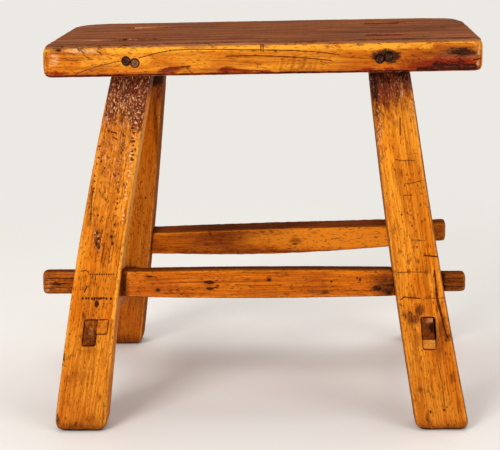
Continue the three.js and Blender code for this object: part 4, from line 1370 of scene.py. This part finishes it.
class StoolPegs(bpy.types.Operator):
    """Cuts the round pegs that hold the leg tenons"""
    bl_idname = "stool.pegs"
    bl_label = "Pegs"

    def execute(self, context):
        for seed, corner in enumerate(CORNERS):
            for rank in ("outer", "inner"):
                dark = PEG_DIRT["right" if corner.endswith("right") else rank]
                self.cut_peg(f"seat_peg_{corner}_{rank}", seed + (4 if rank == "inner" else 0), dark)
        return {"FINISHED"}

    @staticmethod
    def cut_peg(node, seed, dark):
        """Makes one peg from a cylinder, with its ends a little dented."""
        low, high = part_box(node)
        centre, span = (low + high) / 2, high - low
        bpy.ops.object.select_all(action="DESELECT")
        bpy.ops.mesh.primitive_cylinder_add(
            vertices=PEG_SIDES, radius=span.x / 2, depth=span.y, location=centre,
            rotation=(math.pi / 2, 0, 0))
        piece = bpy.context.object
        piece.name = piece.data.name = f"{node}_worn"
        bpy.ops.object.transform_apply(location=True, rotation=True, scale=True)
        select_faces(piece, [len(face.vertices) > 4 for face in piece.data.polygons])
        for ring in PEG_RINGS:
            bpy.ops.mesh.inset(thickness=ring)
        bpy.ops.mesh.poke()
        bpy.ops.object.mode_set(mode="OBJECT")
        remesh(piece, PEG_GRID)
        surface = WornSurface(piece, node)
        surface.add("grime", np.full(len(surface.place), dark))
        surface.add("bare", np.full(len(surface.place), max(0.0, PEG_PALE - dark)))
        surface.add("rough", np.full(len(surface.place), 0.5))
        surface.scatter("cut", 9, 1, 2.2, 0.8, seed=seed + 91)
        carve_lightly(piece, surface)
        finish_piece(piece, surface, "peg_wood", [node], grain_axes((0, 1, 0)), centre,
                     (seed * 0.7, 0.001, 0.002))


# The studio

def floor_material(sizes):
    """A plain matt floor with a faint mottle, which fades into the backdrop away from the stool."""
    material = bpy.data.materials.new("studio_floor")
    material.use_nodes = True
    tree = material.node_tree
    shader = tree.nodes["Principled BSDF"]
    coordinates = tree.nodes.new("ShaderNodeTexCoord")
    mottle = noise(tree, coordinates.outputs["Object"], 3, 3, detail=4)
    tone = linear(sizes.floor)
    darker = tuple(part * 0.97 for part in tone[:3]) + (1,)
    feed(tree, shader.inputs["Base Color"], blend(tree, mottle, darker, tone))
    shader.inputs["Roughness"].default_value = 0.9
    shader.inputs["Specular IOR Level"].default_value = 0.1
    away = tree.nodes.new("ShaderNodeVectorMath")
    away.operation = "LENGTH"
    feed(tree, away.inputs[0], coordinates.outputs["Object"])
    far = ramp(tree, away.outputs["Value"], sizes.fade_start, sizes.fade_end)
    rays = tree.nodes.new("ShaderNodeLightPath")
    glow = tree.nodes.new("ShaderNodeEmission")
    glow.inputs["Color"].default_value = linear(sizes.backdrop)
    mix = tree.nodes.new("ShaderNodeMixShader")
    feed(tree, mix.inputs[0], number(tree, "MULTIPLY", far, rays.outputs["Is Camera Ray"]))
    feed(tree, mix.inputs[1], shader.outputs[0])
    feed(tree, mix.inputs[2], glow.outputs[0])
    feed(tree, tree.nodes["Material Output"].inputs["Surface"], mix.outputs[0])
    return material


class StoolStage(bpy.types.Operator):
    """Sets the camera, the floor, the backdrop and the lamps"""
    bl_idname = "stool.stage"
    bl_label = "Studio"

    def execute(self, context):
        sizes = context.scene.stool_stage
        self.set_camera(context.scene, sizes)
        self.lay_floor(sizes)
        self.hang_lamps(sizes)
        self.light_world(context.scene, sizes)
        context.scene.view_settings.view_transform = "Standard"
        return {"FINISHED"}

    @staticmethod
    def set_camera(scene, sizes):
        """Stands the camera where the photograph was taken from."""
        data = bpy.data.cameras.new("stool_camera")
        data.lens, data.sensor_width, data.sensor_fit = sizes.lens, 36, "HORIZONTAL"
        data.clip_start, data.clip_end = 0.05, 60
        camera = bpy.data.objects.new("stool_camera", data)
        scene.collection.objects.link(camera)
        yaw, pitch, roll = sizes.camera_yaw, sizes.camera_pitch, sizes.camera_roll
        ahead = Vector((math.sin(yaw) * math.cos(pitch), math.cos(yaw) * math.cos(pitch), -math.sin(pitch)))
        level = Vector((math.cos(yaw), -math.sin(yaw), 0))
        above = level.cross(ahead)
        right = level * math.cos(roll) + above * math.sin(roll)
        up = above * math.cos(roll) - level * math.sin(roll)
        camera.matrix_world = Matrix.Translation(sizes.camera_place) @ Matrix(
            (right, up, -ahead)).transposed().to_4x4()
        scene.camera = camera

    @staticmethod
    def lay_floor(sizes):
        """A wide floor, round which the world is the backdrop."""
        bpy.ops.object.select_all(action="DESELECT")
        bpy.ops.mesh.primitive_plane_add(size=24, location=(0, 0, 0))
        floor = bpy.context.object
        floor.name = floor.data.name = "studio_floor"
        floor.data.materials.append(floor_material(sizes))

    @staticmethod
    def hang_lamps(sizes):
        """A large soft key at the front left, a fill at the front right and a wide lamp overhead."""
        target = Vector((0, 0, SEAT_HIGH.z / 2))
        lamps = (
            ("key", (-1.3, -2.0, 1.5), 1.0, sizes.key_power),
            ("fill", (1.9, -1.5, 1.0), 1.2, sizes.fill_power),
            ("overhead", (0.2, 0.5, 2.4), 1.8, sizes.top_power),
        )
        for title, place, size, power in lamps:
            data = bpy.data.lights.new(f"{title}_lamp", "AREA")
            data.shape, data.size, data.energy = "SQUARE", size, power
            lamp = bpy.data.objects.new(f"{title}_lamp", data)
            bpy.context.scene.collection.objects.link(lamp)
            lamp.location = place
            lamp.rotation_mode = "QUATERNION"
            lamp.rotation_quaternion = (target - lamp.location).to_track_quat("-Z", "Y")

    @staticmethod
    def light_world(scene, sizes):
        """Plain light from all round, which the camera sees as the pale backdrop."""
        world = bpy.data.worlds.new("studio")
        world.use_nodes = True
        tree = world.node_tree
        around = tree.nodes["Background"]
        around.inputs["Color"].default_value = (1, 1, 1, 1)
        around.inputs["Strength"].default_value = sizes.ambient
        seen = tree.nodes.new("ShaderNodeBackground")
        seen.inputs["Color"].default_value = linear(sizes.backdrop)
        mirrored = tree.nodes.new("ShaderNodeBackground")
        mirrored.inputs["Color"].default_value = linear(sizes.reflected)
        rays = tree.nodes.new("ShaderNodeLightPath")
        shown = around.outputs[0]
        for kind, shader in (("Is Glossy Ray", mirrored), ("Is Camera Ray", seen)):
            mix = tree.nodes.new("ShaderNodeMixShader")
            feed(tree, mix.inputs[0], rays.outputs[kind])
            feed(tree, mix.inputs[1], shown)
            feed(tree, mix.inputs[2], shader.outputs[0])
            shown = mix.outputs[0]
        feed(tree, tree.nodes["World Output"].inputs["Surface"], shown)
        scene.world = world


class StoolPanel(bpy.types.Panel):
    """Lists the pieces of the stool and what can be changed"""
    bl_idname = "VIEW3D_PT_stool"
    bl_label = "Childs stool"
    bl_space_type = "VIEW_3D"
    bl_region_type = "UI"
    bl_category = "Stool"

    def draw(self, context):
        column = self.layout.column()
        for operator in OPERATORS:
            column.operator(operator.bl_idname)
        for name, group in SETTINGS.items():
            box = self.layout.box()
            box.label(text=group.__doc__)
            for title in group.__annotations__:
                box.prop(getattr(context.scene, name), title)


OPERATORS = (StoolSeat, StoolLegs, StoolLongRails, StoolShortRails, StoolWedges, StoolPegs, StoolStage)
SETTINGS = {**dict(FINISHES.values()), "stool_wear": WearSizes, "stool_stage": StageSizes}


def register():
    """Registers the classes and hangs their settings on the scene."""
    for group in (*SETTINGS.values(), *OPERATORS, StoolPanel):
        bpy.utils.register_class(group)
    for name, group in SETTINGS.items():
        setattr(bpy.types.Scene, name, bpy.props.PointerProperty(type=group))


def unregister():
    """Takes the settings and the classes away again."""
    for name in SETTINGS:
        delattr(bpy.types.Scene, name)
    for group in reversed((*SETTINGS.values(), *OPERATORS, StoolPanel)):
        bpy.utils.unregister_class(group)


def main():
    """Builds the shader groups, the pieces and the studio in order."""
    register()
    for build in (build_long_grain, build_ragged_mask, build_specks, build_crust, build_aged_finish):
        build()
    bpy.ops.stool.stage()
    bpy.ops.stool.seat()
    bpy.ops.stool.legs()
    bpy.ops.stool.long_rails()
    bpy.ops.stool.short_rails()
    bpy.ops.stool.wedges()
    bpy.ops.stool.pegs()


if __name__ == "__main__":
    main()
